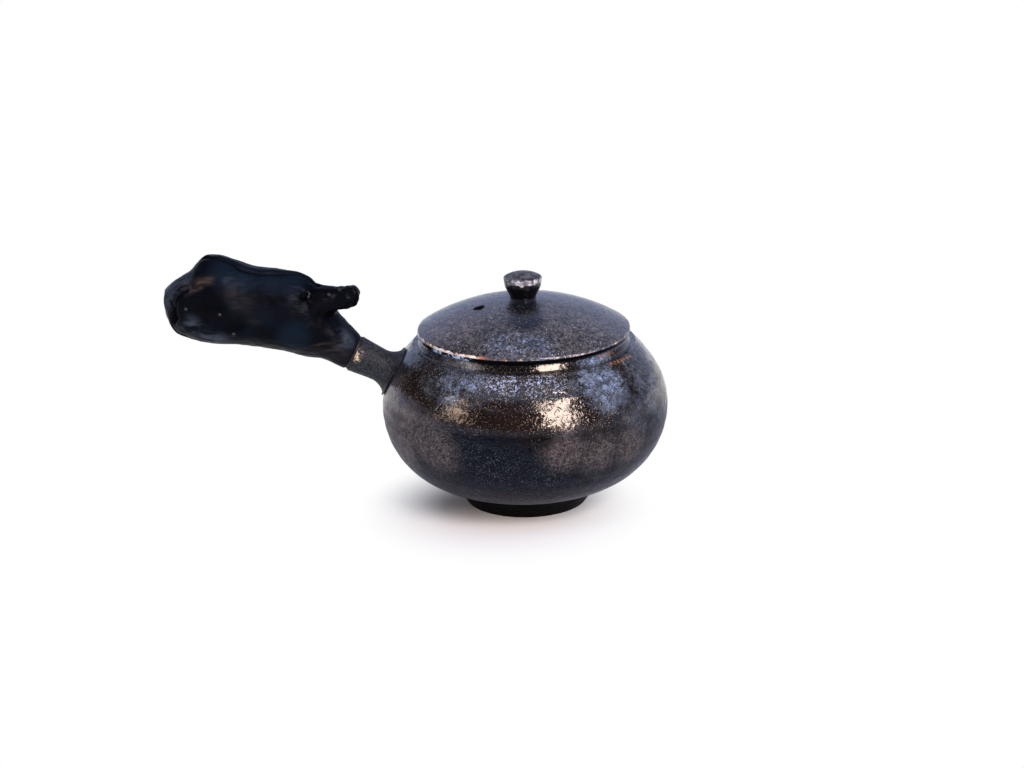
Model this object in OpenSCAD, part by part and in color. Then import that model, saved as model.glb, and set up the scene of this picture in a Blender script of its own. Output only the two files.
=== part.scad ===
// Side-handle teapot: a round iron-glazed stoneware bowl on a foot ring, with a lift-off domed lid,
// a spout at a right angle to the handle, and a burl of dark wood bedded in a clay socket.
// Millimetres, +Z up. The origin is the centre of the foot on the table.
// The handle points to -X and the spout to +Y.

/* [Bowl] */
// Widest diameter of the bowl
bowl_d = 100; // [92:1:120]
// Radius of the curve from the widest ring down to the base
lower_r = 28; // [24:0.5:31]
// Radius of the curve from the widest ring up to the shoulder
shoulder_r = 25; // [21:0.5:29]
// Angle at which the shoulder passes into the flatter crown, in degrees
shoulder_angle = 30; // [22:1:38]
// Radius of the flatter crown that carries the neck
crown_r = 45; // [40:1:60]
// Thickness of the thrown wall
wall = 3.5; // [2.5:0.1:4.5]
// Layer of slip between the bowl and what is luted to it
lute_t = 0.1; // [0.05:0.05:0.3]

/* [Foot ring] */
// Height of the foot ring
foot_h = 7; // [4:0.5:12]
// Wall of the foot ring at the table
foot_wall = 4; // [3:0.5:6]
// How far the foot's top stands out past the flat of the base, on its radius
foot_out = 4; // [-1:0.1:5]
// How much the foot narrows towards the table, on its radius
foot_taper = 4.7; // [0:0.1:6]

/* [Neck ring] */
// Outside diameter of the neck
neck_d = 72; // [64:1:78]
// Height of the neck above its ledge
neck_h = 3; // [2.4:0.1:6]
// Wall of the neck
neck_wall = 3; // [2.4:0.1:4]
// Width of the ledge around the foot of the neck
ledge_w = 3; // [2:0.1:5]
// Rounding of the neck's outer lip
neck_round = 0.6; // [0.3:0.1:1]
// How much wider the neck is at its foot than at its lip, on its radius
neck_flare = 1.3; // [0.4:0.1:1.8]

/* [Lid] */
// How far the lid stands out past the neck, on its radius
lid_overhang = 1; // [0:0.1:3]
// Thickness of the lid at its rim
rim_t = 2.4; // [1.6:0.1:3]
// Chamfer under the lid's rim
rim_chamfer = 0.5; // [0.2:0.1:0.8]
// Rise of the lid's dome above its rim
lid_rise = 10.5; // [8:0.5:15]
// Thickness of the lid
lid_wall = 3; // [2:0.1:4]
// Depth of the locating flange under the lid
flange_depth = 6; // [4:0.5:10]
// Wall of the locating flange
flange_wall = 3; // [2:0.1:4]
// Gap between the locating flange and the bore of the neck
lid_clear = 0.5; // [0.3:0.1:1]
// Chamfer that leads the flange into the neck
flange_lead = 0.6; // [0.3:0.1:1]
// Diameter of the steam hole
steam_d = 4.4; // [2.5:0.1:6]
// Distance of the steam hole from the middle of the lid
steam_r = 16; // [12:0.5:22]
// Bearing of the steam hole, from +X towards +Y, in degrees
steam_bearing = 199; // [0:1:359]

/* [Knob] */
// Widest diameter of the knob
knob_d = 13.3; // [12.8:0.1:18]
// Diameter of the knob where it sits on the lid
knob_base_d = 9.2; // [7:0.1:11]
// Height of the knob's tapered stem
knob_stem_h = 4.4; // [3:0.1:7]
// Diameter at the top of the tapered stem
knob_stem_d = 12.6; // [11:0.1:13]
// Height of the knob's upright edge
knob_rim_t = 3.4; // [2:0.1:5]
// Rounding at the top of the upright edge
knob_round = 0.7; // [0.3:0.1:1.2]
// Rise of the knob's cap above its upright edge
knob_rise = 1.7; // [1.2:0.1:4]

/* [Spout] */
// Height of the spout's root above the widest ring
spout_up = 5; // [3:0.5:8]
// Slope of the spout above the horizontal, in degrees
spout_tilt = 32; // [26:1:40]
// Length of the spout beyond the bowl
spout_len = 22; // [17:0.5:30]
// Length over which the spout's flare runs on inside the bowl, which trims it
spout_sink = 20; // [17:0.5:24]
// Outside diameter of the spout's tip
spout_tip_d = 13.5; // [11:0.5:15]
// Outside diameter of the spout's flared root
spout_root_d = 27; // [22:0.5:29]
// Wall of the spout
spout_wall = 2; // [1.5:0.1:2.5]
// Slant of the cut across the tip, in degrees from square
tip_slant = 20; // [0:1:30]
// Diameter of the passage through the bowl's wall behind the spout
passage_d = 11; // [8:0.5:12]

/* [Strainer] */
// Outside diameter of the pierced dome
strainer_d = 20; // [18:0.5:24]
// Wall of the pierced dome
strainer_wall = 1.8; // [1.4:0.1:2.4]
// Diameter of each hole in the dome
sieve_d = 2; // [1.4:0.1:2.4]
// Number of rings of holes around the middle hole
sieve_rings = 3; // [1:1:3]
// Angle between one ring of holes and the next, in degrees
sieve_pitch = 20; // [17:1:21]

/* [Handle socket] */
// Height of the socket's root above the widest ring
socket_up = 12.8; // [9:0.5:15]
// Slope of the socket above the horizontal, in degrees
socket_tilt = 28; // [20:1:36]
// Length of the socket beyond the bowl
socket_len = 14; // [12:0.5:20]
// Diameter of the flange luted to the bowl
socket_root_d = 18.4; // [15:0.1:22]
// Diameter of the socket's waist
socket_waist_d = 11.5; // [10.6:0.1:12.5]
// Distance of the waist from the bowl
socket_waist_t = 4.5; // [3:0.1:7]
// Radius of the hollow curve from the waist to the flange
socket_flare_r = 6.2; // [5:0.1:9]
// Diameter of the socket's mouth
socket_mouth_d = 12.9; // [11.5:0.1:15]

/* [Wood handle] */
// Length of the burl from the socket to its far end
burl_len = 64; // [50:1:90]
// Greatest height of the burl
burl_h = 31; // [24:0.5:38]
// Greatest width of the burl
burl_w = 25; // [20:0.5:32]
// Rise of the burl's middle line above the socket's mouth
burl_rise = 20; // [12:0.5:26]
// Depth of the lobes on the burl
burl_lobe = 0.5; // [0:0.1:1.2]
// Length of the twig stub from its root in the burl to its tip
twig_len = 17; // [12:0.5:22]
// Diameter of the twig stub behind its tip
twig_d = 8; // [6:0.5:10]
// Diameter of the round tenon whittled on the burl
tenon_d = 7; // [5.5:0.1:7.6]
// Length of the tenon inside the socket
tenon_len = 11.5; // [8:0.5:12]
// Thickness of the lacquer putty around the tenon
bedding_t = 0.4; // [0.2:0.1:0.5]
// Thickness of the putty bead between the burl and the socket
bead_t = 0.8; // [0.4:0.1:1.5]
// How far the putty bead stays back from the socket's mouth
bead_back = 0.5; // [0.2:0.1:1]

/* [Hidden] */
$fn = 96;
// Sides of the wide circles that hollow a tube along its length
flare_fn = 360;

// A length that reaches past everything, for half planes and through cuts
far = 300;
// A small length by which a cut runs past the face that it opens
past = 1;

// Bowl: centres of the three curves of its outline, as radius and height
bowl_r = bowl_d / 2;
base_z = foot_h;
belly_z = base_z + lower_r;
base_flat_r = bowl_r - lower_r;
lower_c = [base_flat_r, belly_z];
shoulder_c = [bowl_r - shoulder_r, belly_z];
crown_c = shoulder_c - (crown_r - shoulder_r) * [cos(shoulder_angle), sin(shoulder_angle)];
crown_start_z = belly_z + shoulder_r * sin(shoulder_angle);

// Radius of the bowl's outline at a height, drawn in by an inset
function bowl_r_at(z, inset = 0) =
    z < belly_z ? arc_r_at(lower_c, lower_r - inset, z)
    : z < crown_start_z ? arc_r_at(shoulder_c, shoulder_r - inset, z)
    : arc_r_at(crown_c, crown_r - inset, z);
function arc_r_at(c, r, z) = c[0] + sqrt(r * r - (z - c[1]) * (z - c[1]));

// Neck: ledge on the crown, lip and bore
neck_r = neck_d / 2;
mouth_r = neck_r - neck_wall;
ledge_r = neck_r + ledge_w;
ledge_z = crown_c[1] + sqrt(crown_r * crown_r - (ledge_r - crown_c[0]) * (ledge_r - crown_c[0]));
seat_z = ledge_z + neck_h;
// Steps of the lip's rounding
lip_steps = 8;

// Lid: its seat is the neck's lip, its flange fits the neck's bore
lid_r = neck_r + lid_overhang;
flange_r = mouth_r - lid_clear;
flange_bore_r = flange_r - flange_wall;
lid_dome_r = dome_r(lid_r, lid_rise);
lid_dome_z = seat_z + rim_t + lid_rise - lid_dome_r;
knob_base_r = knob_base_d / 2;
knob_z = lid_dome_z + sqrt(lid_dome_r * lid_dome_r - knob_base_r * knob_base_r);
// Knob's upright edge: the angle at which its rounding meets the cap, and the steps of its curves
edge_to = 50;
edge_steps = 8;

// Radius of the ball of which a dome of this radius and rise is the cap
function dome_r(r, rise) = (r * r + rise * rise) / (2 * rise);

// Points on an arc, from one angle to another
function arc(c, r, from, to, steps) =
    [for (k = [0 : steps]) let (a = from + (to - from) * k / steps) c + r * [cos(a), sin(a)]];

// A row of points without its first one, to run on from an earlier row
function run_on(points) = [for (k = [1 : len(points) - 1]) points[k]];

// Spout: root on the bowl and hollow curve of its outside
spout_z = belly_z + spout_up;
spout_root = [0, bowl_r_at(spout_z), spout_z];
spout_tip_r = spout_tip_d / 2;
spout_root_r = spout_root_d / 2;
spout_swell = spout_root_r - spout_tip_r;
spout_run = spout_len + spout_sink;
spout_flare_r = (spout_swell * spout_swell + spout_run * spout_run) / (2 * spout_swell);

// Strainer: centred where the spout's axis meets the inside of the wall
spout_lean = spout_tilt - asin(spout_up / shoulder_r);
strainer_z = spout_z - wall * sin(spout_tilt) / cos(spout_lean);
strainer_c = [0, bowl_r_at(strainer_z, wall), strainer_z];
strainer_r = strainer_d / 2;
// Holes that each ring of the sieve has more than the ring before it
sieve_more = 6;
// Length of the cut of a sieve hole, centred in the dome's wall
sieve_cut = 2 * strainer_wall;

// Socket: root on the bowl, waist and mouth
socket_z = belly_z + socket_up;
socket_root = [-bowl_r_at(socket_z), 0, socket_z];
socket_mouth_r = socket_mouth_d / 2;
socket_waist_r = socket_waist_d / 2;
tenon_r = tenon_d / 2;
bore_r = tenon_r + bedding_t;
bore_end_t = socket_len - tenon_len - bedding_t;
burl_t = socket_len + bead_t;
burl_start = socket_root + burl_t * [-cos(socket_tilt), 0, sin(socket_tilt)];

// Burl: rings along its middle line, each row being the place along the length, the rise,
// the lean in degrees, the half height and the half width, as shares of the burl's own sizes
burl_form = [
    [0.06, 0.17, 18, 0.50, 0.57],
    [0.14, 0.39, 13, 0.65, 0.69],
    [0.24, 0.63, 10, 0.88, 0.82],
    [0.34, 0.75, 7, 0.92, 0.88],
    [0.53, 0.865, 7, 0.90, 0.92],
    [0.70, 1.00, 3, 1.01, 1.00],
    [0.80, 1.02, 4, 0.94, 0.94],
    [0.88, 0.95, 7, 0.75, 0.77],
    [0.95, 0.92, 2, 0.58, 0.54],
    [1.00, 0.98, 0, 0.27, 0.26]
];
burl_sizes = [burl_len, burl_rise, 1, burl_h / 2, burl_w / 2];
burl_rows = concat(
    [[0, 0, socket_tilt, socket_mouth_r, socket_mouth_r]],
    [for (row = burl_form) [for (k = [0 : 4]) row[k] * burl_sizes[k]]]
);
burl_sides = 32;
burl_steps = 4;
lobe_count = 3;
// Turn of the lobes from one row to the next, in degrees
lobe_twist = 40;
// Number of rows over which the lobes fade in
lobe_fade = 2;

// Twig stub: place of its root, as shares of the burl's length, width and rise, and the way it points
twig_place = [0.2, 0.12, 0.95];
twig_root = [twig_place[0] * burl_len, twig_place[1] * burl_w, twig_place[2] * burl_rise];
twig_way = [-0.98, 0.06, 0.17];
// Each row is the place along the twig and the radius, as shares of the twig's own sizes
twig_form = [[0, 1.70], [0.3, 1.38], [0.52, 1.12], [0.74, 1.02], [0.90, 0.90], [0.99, 0.45]];
twig_rows = [for (row = twig_form)
    concat(twig_root + row[0] * twig_len * twig_way, [row[1] * twig_d / 2])
];
twig_sides = 16;
twig_steps = 2;

// Point at place s on a smooth curve through the rows of a list
function along(rows, s) =
    let (
        i = min(floor(s), len(rows) - 2),
        t = s - i,
        a = rows[max(i - 1, 0)],
        b = rows[i],
        c = rows[i + 1],
        d = rows[min(i + 2, len(rows) - 1)]
    )
    b + 0.5 * t * ((c - a) + t * ((2 * a - 5 * b + 4 * c - d) + t * (3 * (b - c) + d - a)));

// One ring of the burl: a leaning oval whose lobes fade in from the round start
function burl_ring(s) =
    let (row = along(burl_rows, s), lobe = burl_lobe * min(s / lobe_fade, 1))
    [for (k = [0 : burl_sides - 1])
        let (
            a = 360 * k / burl_sides,
            swell = lobe * sin(lobe_count * a + lobe_twist * s),
            high = (row[3] + swell) * sin(a),
            side = (row[4] + swell) * cos(a)
        )
        [row[0] - high * sin(row[2]), side, row[1] + high * cos(row[2])]
    ];

// One ring of the twig, turned the other way round because the twig points back to the pot
function twig_ring(s) =
    let (row = along(twig_rows, s))
    [for (k = [0 : twig_sides - 1])
        let (a = -360 * k / twig_sides)
        [row[0], row[1] + row[3] * cos(a), row[2] + row[3] * sin(a)]
    ];

// Mean of a ring's points
function middle(ring, i = 0, sum = [0, 0, 0]) =
    i == len(ring) ? sum / len(ring) : middle(ring, i + 1, sum + ring[i]);

// Closed skin over a row of rings, all with the same number of points, closed by a fan at each end
module skin(rings) {
    n = len(rings[0]);
    last = len(rings) - 1;
    points = concat([for (ring = rings) each ring], [middle(rings[0]), middle(rings[last])]);
    first_mid = n * len(rings);
    last_mid = first_mid + 1;
    sides = [for (i = [0 : last - 1]) for (k = [0 : n - 1])
        let (a = i * n + k, b = i * n + (k + 1) % n)
        each [[a, a + n, b], [b, a + n, b + n]]
    ];
    ends = [for (k = [0 : n - 1])
        each [[first_mid, k, (k + 1) % n], [last_mid, last * n + (k + 1) % n, last * n + k]]
    ];
    polyhedron(points, concat(sides, ends));
}

// Slice of a disc between two angles, up to half a turn
module pie(c, r, from, to) {
    steps = 4;
    reach = 2 * r;
    intersection() {
        translate(c) circle(r);
        polygon(concat([c], arc(c, reach, from, to, steps)));
    }
}

// Half outline of the bowl, drawn in by an inset and cut level at a height
module bowl_outline(inset, top) {
    base = base_z + inset;
    intersection() {
        translate([0, base]) square([far, top - base]);
        union() {
            pie(lower_c, lower_r - inset, -90, 0);
            pie(shoulder_c, shoulder_r - inset, 0, shoulder_angle);
            pie(crown_c, crown_r - inset, shoulder_angle, 90);
            polygon([
                [0, base],
                [lower_c[0], base],
                lower_c,
                shoulder_c,
                crown_c,
                [crown_c[0], far],
                [min(crown_c[0], 0), far]
            ]);
        }
    }
}

// Hollow inside the bowl
module bowl_inner() { rotate_extrude() bowl_outline(wall, ledge_z); }

// Solid that trims what is luted to the bowl: its outline in short steps, drawn out by the slip, and
// a collar that keeps it clear of the neck and the lid's rim
module bowl_trim() {
    steps = 24;
    top_angle = asin((ledge_z - crown_c[1]) / (crown_r + lute_t));
    collar_r = max(neck_r + neck_flare, lid_r) + lute_t;
    collar_z = seat_z + rim_t;
    rotate_extrude() polygon(concat(
        [[0, base_z - lute_t]],
        arc(lower_c, lower_r + lute_t, -90, 0, steps),
        run_on(arc(shoulder_c, shoulder_r + lute_t, 0, shoulder_angle, steps)),
        run_on(arc(crown_c, crown_r + lute_t, shoulder_angle, top_angle, steps)),
        [[collar_r, ledge_z], [collar_r, collar_z], [0, collar_z]]
    ));
}

// Half outline of a tube that is hollowed along its outside: radius r at the waist, at height t
module waisted(r, t, flare_r, root_r, from, to) {
    difference() {
        translate([0, from]) square([root_r, to - from]);
        translate([r + flare_r, t]) circle(flare_r, $fn = flare_fn);
    }
}

// Stands a shape that was made along +Z on a slope, at a bearing from +X
module on_slope(root, tilt, bearing) {
    translate(root) rotate([0, 90 - tilt, bearing]) children();
}

module on_spout() { on_slope(spout_root, spout_tilt, 90) children(); }
module on_socket() { on_slope(socket_root, socket_tilt, 180) children(); }

// Bowl with its level top, the mouth for the lid's flange and the passage to the spout
module pot_body() color("#2b2a2f") {
    flange_room = flange_depth + lid_clear;
    difference() {
        rotate_extrude() difference() {
            bowl_outline(0, ledge_z);
            bowl_outline(wall, ledge_z + past);
            translate([0, seat_z - flange_room]) square([mouth_r, flange_room + past]);
        }
        on_spout() translate([0, 0, -spout_sink]) cylinder(d = passage_d, h = spout_sink + passage_d);
    }
}

module foot_ring() color("#121214") {
    top_r = base_flat_r + foot_out;
    low_r = top_r - foot_taper;
    bore = low_r - foot_wall;
    rotate_extrude() polygon([[bore, 0], [low_r, 0], [top_r, base_z], [bore, base_z]]);
}

module neck_ring() color("#3a3633") {
    round_c = [neck_r - neck_round, seat_z - neck_round];
    rotate_extrude() polygon(concat(
        [[mouth_r, ledge_z], [neck_r + neck_flare, ledge_z]],
        arc(round_c, neck_round, 0, 90, lip_steps),
        [[mouth_r, seat_z]]
    ));
}

module spout() color("#2f2d31") {
    deep = -spout_sink - past;
    high = spout_len + spout_tip_r;
    difference() {
        on_spout() difference() {
            rotate_extrude() waisted(spout_tip_r, spout_len, spout_flare_r, spout_root_r, deep, high);
            rotate_extrude() difference() {
                translate([0, deep - past])
                    square([spout_root_r - spout_wall, high - deep + 2 * past]);
                translate([spout_tip_r + spout_flare_r, spout_len])
                    circle(spout_flare_r + spout_wall, $fn = flare_fn);
            }
            translate([0, 0, spout_len]) rotate([0, -tip_slant, 0])
                translate([-far / 2, -far / 2, 0]) cube(far);
        }
        bowl_trim();
    }
}

module strainer() color("#4a4440") {
    intersection() {
        translate(strainer_c) rotate([90, 0, 0]) difference() {
            rotate([0, 90, 0]) sphere(strainer_r);
            rotate([0, 90, 0]) sphere(strainer_r - strainer_wall);
            for (ring = [0 : sieve_rings])
                let (count = max(1, sieve_more * ring))
                    for (k = [0 : count - 1])
                        rotate([0, ring * sieve_pitch, 360 * k / count])
                            translate([0, 0, strainer_r - strainer_wall / 2])
                                cylinder(d = sieve_d, h = sieve_cut, center = true);
        }
        bowl_inner();
    }
}

module handle_socket() color("#4d4642") {
    difference() {
        on_socket() difference() {
            rotate_extrude() {
                waisted(socket_waist_r, socket_waist_t, socket_flare_r, socket_root_d / 2,
                        -socket_root_d / 2, socket_waist_t);
                polygon([
                    [0, socket_waist_t],
                    [socket_waist_r, socket_waist_t],
                    [socket_mouth_r, socket_len],
                    [0, socket_len]
                ]);
            }
            translate([0, 0, bore_end_t]) cylinder(r = bore_r, h = far);
        }
        bowl_trim();
    }
}

// Putty that fills the bore around the tenon and shows as a dark bead at the mouth
module handle_bedding() color("#0c0b0c") {
    bead_r = socket_mouth_r - bead_back;
    on_socket() rotate_extrude() polygon([
        [0, bore_end_t],
        [bore_r, bore_end_t],
        [bore_r, socket_len],
        [bead_r, socket_len],
        [bead_r, burl_t],
        [tenon_r, burl_t],
        [tenon_r, bore_end_t + bedding_t],
        [0, bore_end_t + bedding_t]
    ]);
}

module wood_handle() color("#15161b") {
    burl_last = burl_steps * (len(burl_rows) - 1);
    twig_last = twig_steps * (len(twig_rows) - 1);
    translate(burl_start) rotate([0, 0, 180]) {
        skin([for (k = [0 : burl_last]) burl_ring(k / burl_steps)]);
        skin([for (k = [0 : twig_last]) twig_ring(k / twig_steps)]);
    }
    on_socket() translate([0, 0, bore_end_t + bedding_t])
        cylinder(r = tenon_r, h = tenon_len + bead_t + past);
}

module lid_plate() color("#3b3a40") {
    difference() {
        rotate_extrude() difference() {
            intersection() {
                translate([0, lid_dome_z]) circle(lid_dome_r);
                translate([0, seat_z]) square([lid_r, knob_z - seat_z]);
            }
            translate([lid_r, seat_z]) rotate(45) square(sqrt(2) * rim_chamfer, center = true);
            intersection() {
                translate([0, lid_dome_z]) circle(lid_dome_r - lid_wall);
                translate([0, seat_z - past]) square([flange_bore_r, far]);
            }
        }
        rotate([0, 0, steam_bearing]) translate([steam_r, 0, seat_z])
            cylinder(d = steam_d, h = lid_rise + rim_t);
    }
}

module lid_flange() color("#35312f") {
    low_z = seat_z - flange_depth;
    rotate_extrude() polygon([
        [flange_bore_r, low_z],
        [flange_r - flange_lead, low_z],
        [flange_r, low_z + flange_lead],
        [flange_r, seat_z],
        [flange_bore_r, seat_z]
    ]);
}

module lid_knob() color("#47464b") {
    round_c = [knob_d / 2 - knob_round, knob_z + knob_stem_h + knob_rim_t - knob_round];
    edge = arc(round_c, knob_round, 0, edge_to, edge_steps);
    cap_edge = edge[edge_steps];
    cap_r = dome_r(cap_edge[0], knob_rise);
    cap_c = [0, cap_edge[1] + knob_rise - cap_r];
    cap = arc(cap_c, cap_r, acos(cap_edge[0] / cap_r), 90, edge_steps);
    rotate_extrude() polygon(concat(
        [[0, knob_z], [knob_base_r, knob_z], [knob_stem_d / 2, knob_z + knob_stem_h]],
        edge,
        run_on(cap)
    ));
}

pot_body();
foot_ring();
neck_ring();
spout();
strainer();
handle_socket();
handle_bedding();
wood_handle();
lid_plate();
lid_flange();
lid_knob();
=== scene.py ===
"""Side-handle teapot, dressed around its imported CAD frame.

A thrown, iron-glazed bowl with a lift-off lid, a spout at a right angle to the handle and a burl of
ebonised wood bedded in a clay socket. Metres, +Z up, handle towards -X, spout towards +Y. Shapes are
drawn in millimetres and scaled once, when a piece is finished.
"""
import logging
import math
from collections.abc import Callable
from dataclasses import dataclass
from enum import Enum
from functools import partial

import bmesh
import bpy
import numpy as np
from bmesh.types import BMEdge, BMesh, BMFace, BMVert
from bpy.types import Material, Mesh, Node, NodeSocket, NodeTree, Object
from mathutils import Matrix, Vector, noise


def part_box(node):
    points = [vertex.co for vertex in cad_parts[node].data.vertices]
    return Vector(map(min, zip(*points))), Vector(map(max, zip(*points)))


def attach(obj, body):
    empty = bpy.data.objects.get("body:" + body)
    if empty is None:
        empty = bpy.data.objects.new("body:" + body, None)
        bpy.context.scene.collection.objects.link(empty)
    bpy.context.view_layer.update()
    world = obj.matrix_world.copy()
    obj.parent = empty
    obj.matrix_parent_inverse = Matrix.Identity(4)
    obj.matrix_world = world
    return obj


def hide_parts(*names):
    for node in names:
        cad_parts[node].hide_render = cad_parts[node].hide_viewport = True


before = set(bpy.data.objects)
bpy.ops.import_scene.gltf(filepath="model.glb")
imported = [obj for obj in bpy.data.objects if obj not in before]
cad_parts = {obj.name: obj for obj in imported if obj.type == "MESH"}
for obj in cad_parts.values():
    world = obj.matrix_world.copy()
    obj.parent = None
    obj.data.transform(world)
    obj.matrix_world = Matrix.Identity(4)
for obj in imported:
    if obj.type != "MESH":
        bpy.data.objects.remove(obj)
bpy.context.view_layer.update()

MM = 0.001
# A closed wire stops this far, in millimetres, before the point that it started from
STOP = 0.01
LOG = logging.getLogger("teapot")
Span = tuple[float, float]
Point = tuple[float, float, float]
Points = tuple[Point, ...]


class Body(Enum):
    """The two bodies that the joint parts."""

    POT = "pot"
    LID = "lid"


# Shared tools for shapes


class Profile:
    """A lathe profile, drawn as a wire of radius and height in the XZ plane, in millimetres."""

    def __init__(self, r: float, z: float) -> None:
        """Starts the wire at a radius and height."""
        self.bm = bmesh.new()
        self.start = self.tip = self.bm.verts.new((r, 0, z))

    def line(self, r: float, z: float, cuts: int = 0) -> "Profile":
        """Draws a straight line.

        Args:
            r: Radius of its end.
            z: Height of its end.
            cuts: Points added along it.

        Returns:
            The profile.
        """
        begin, end = self.tip.co.copy(), Vector((r, 0, z))
        for step in range(cuts + 1):
            self.tip = bmesh.ops.extrude_vert_indiv(self.bm, verts=[self.tip])["verts"][0]
            self.tip.co = begin.lerp(end, (step + 1) / (cuts + 1))
        return self

    def arc(self, r: float, z: float, degrees: float, steps: int) -> "Profile":
        """Draws an arc, counter-clockwise for a positive angle.

        Args:
            r: Radius of its centre.
            z: Height of its centre.
            degrees: Angle that it turns through.
            steps: Number of its edges.

        Returns:
            The profile.
        """
        made = bmesh.ops.spin(self.bm, geom=[self.tip], cent=(r, 0, z), axis=(0, 1, 0),
                              angle=-math.radians(degrees), steps=steps)
        self.tip = next(v for v in made["geom_last"] if isinstance(v, BMVert))
        return self

    def close(self) -> "Profile":
        """Joins the end of the wire to its start."""
        self.bm.edges.new((self.tip, self.start))
        return self

    def lathe(self, steps: int) -> BMesh:
        """Turns the wire once round the Z axis.

        Args:
            steps: Number of sides of the round.

        Returns:
            The closed mesh, with its normals outwards.
        """
        bm = self.bm
        bmesh.ops.spin(bm, geom=bm.verts[:] + bm.edges[:], cent=(0, 0, 0), axis=(0, 0, 1),
                       angle=math.tau, steps=steps, use_merge=True)
        bmesh.ops.remove_doubles(bm, verts=bm.verts, dist=1e-4)
        bmesh.ops.recalc_face_normals(bm, faces=bm.faces)
        return bm


def soften(bm: BMesh, degrees: float, width: float, segments: int = 2) -> None:
    """Bevels every edge that is sharper than an angle.

    Args:
        bm: The mesh.
        degrees: Least angle between the two faces of an edge.
        width: Width of the bevel, in millimetres.
        segments: Number of faces across the bevel.
    """
    sharp = [e for e in bm.edges if e.is_manifold and e.calc_face_angle() > math.radians(degrees)]
    bmesh.ops.bevel(bm, geom=sharp, offset=width, offset_type="OFFSET", affect="EDGES",
                    segments=segments, profile=0.5, material=-1, clamp_overlap=True)


def widen(v: BMVert, factor: float) -> None:
    """Moves a point away from the Z axis by a factor, or towards it by one below 1."""
    v.co.x *= factor
    v.co.y *= factor


def throw(bm: BMesh, ring: float, pitch: float, wobble: float, seed: float) -> None:
    """Gives a turned mesh the finger rings and slight unevenness of a thrown one, always inwards.

    Args:
        bm: The mesh, turned round Z.
        ring: Depth of the finger rings, in millimetres.
        pitch: Rise of the finger spiral from one turn to the next.
        wobble: Depth of the slow unevenness.
        seed: Place in the noise.
    """
    core_r, slow_wave, fine_wave = 1.0, 22.0, 5.0
    for v in bm.verts:
        r = math.hypot(v.co.x, v.co.y)
        if r < core_r:
            continue
        turn = math.atan2(v.co.y, v.co.x) / math.tau
        spiral = math.sin(math.tau * (v.co.z / pitch + turn))
        slow = noise.noise(Vector((v.co.x, v.co.y, v.co.z)) / slow_wave + Vector((seed, 0, 0)))
        fine = noise.noise(Vector((v.co.x, v.co.y, 2 * v.co.z)) / fine_wave + Vector((0, seed, 0)))
        inward = ring * (0.5 + 0.5 * spiral) * (0.6 + 0.4 * slow) + wobble * (0.5 + 0.4 * slow + 0.15 * fine)
        widen(v, 1 - inward / r)


def pierce(bm: BMesh, centre: Vector, axis: Vector, reach: float,
           radius_at: Callable[[float], float]) -> None:
    """Cuts a hole through a double wall and closes its sides.

    Args:
        bm: The closed mesh.
        centre: A point on the hole's axis, between the two walls.
        axis: Direction of the hole, of length one.
        reach: How far along the axis the walls may lie.
        radius_at: Radius of the hole at an angle round its axis.
    """
    across = axis.orthogonal().normalized()
    beside = axis.cross(across)

    def polar(co: Vector) -> tuple[float, float, float]:
        """Distance along the axis, distance from it and angle round it."""
        w = co - centre
        return w.dot(axis), math.hypot(w.dot(across), w.dot(beside)), math.atan2(w.dot(beside), w.dot(across))

    cut = []
    for face in bm.faces:
        along, off, angle = polar(face.calc_center_median())
        if abs(along) < reach and off < radius_at(angle):
            cut.append(face)
    bmesh.ops.delete(bm, geom=cut, context="FACES")
    rim = [e for e in bm.edges if e.is_boundary]
    for v in {v for e in rim for v in e.verts}:
        along, _, angle = polar(v.co)
        out = math.cos(angle) * across + math.sin(angle) * beside
        v.co = centre + along * axis + radius_at(angle) * out
    bmesh.ops.bridge_loops(bm, edges=rim)
    bmesh.ops.recalc_face_normals(bm, faces=bm.faces)


def line_inside(bm: BMesh, hidden: Callable[[BMFace], bool]) -> None:
    """Gives the faces that a test finds a piece's second coat, and the others its first.

    Args:
        bm: The mesh.
        hidden: The test.
    """
    for face in bm.faces:
        face.material_index = int(hidden(face))


def finish_piece(bm: BMesh, name: str, sharp: float = 40) -> Object:
    """Scales a mesh from millimetres to metres and makes it an object at the origin.

    Args:
        bm: The mesh, which is freed.
        name: Name of the piece.
        sharp: Angle from which an edge is shaded sharp, in degrees.

    Returns:
        The object.
    """
    bmesh.ops.scale(bm, vec=(MM, MM, MM), verts=bm.verts)
    mesh = bpy.data.meshes.new(name)
    bm.to_mesh(mesh)
    bm.free()
    mesh.shade_smooth()
    mesh.set_sharp_from_angle(angle=math.radians(sharp))
    obj = bpy.data.objects.new(name, mesh)
    bpy.context.scene.collection.objects.link(obj)
    return obj


def seat(obj: Object, body: Body, node: str, slot: str, *coats: Material) -> None:
    """Dresses a piece, sets it on its body in place of a CAD node, and reports it.

    Args:
        obj: The piece.
        body: The body that it rides on.
        node: The CAD node that it replaces.
        slot: The record's material slot, which is not used.
        coats: Its materials, in the order of its faces' indices.
    """
    obj.data.materials.clear()
    for coat in coats:
        obj.data.materials.append(coat)
    if obj.name != node:
        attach(obj, body.value)
        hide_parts(node)
    LOG.info("%s: %d faces on body %s", obj.name, len(obj.data.polygons), body.value)


# Shared tools for finishes

Link = Node | NodeSocket | float | tuple | str | None
SOFT = {"interpolation_type": "SMOOTHSTEP"}
TIMES = {"operation": "MULTIPLY", "use_clamp": True}
PLUS = {"operation": "ADD", "use_clamp": True}
MOST = {"operation": "MAXIMUM", "use_clamp": True}
LESS = {"operation": "SUBTRACT", "use_clamp": True}


def metres(*lengths: float) -> tuple[float, ...]:
    """Turns lengths in millimetres into metres."""
    return tuple(length * MM for length in lengths)


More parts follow.
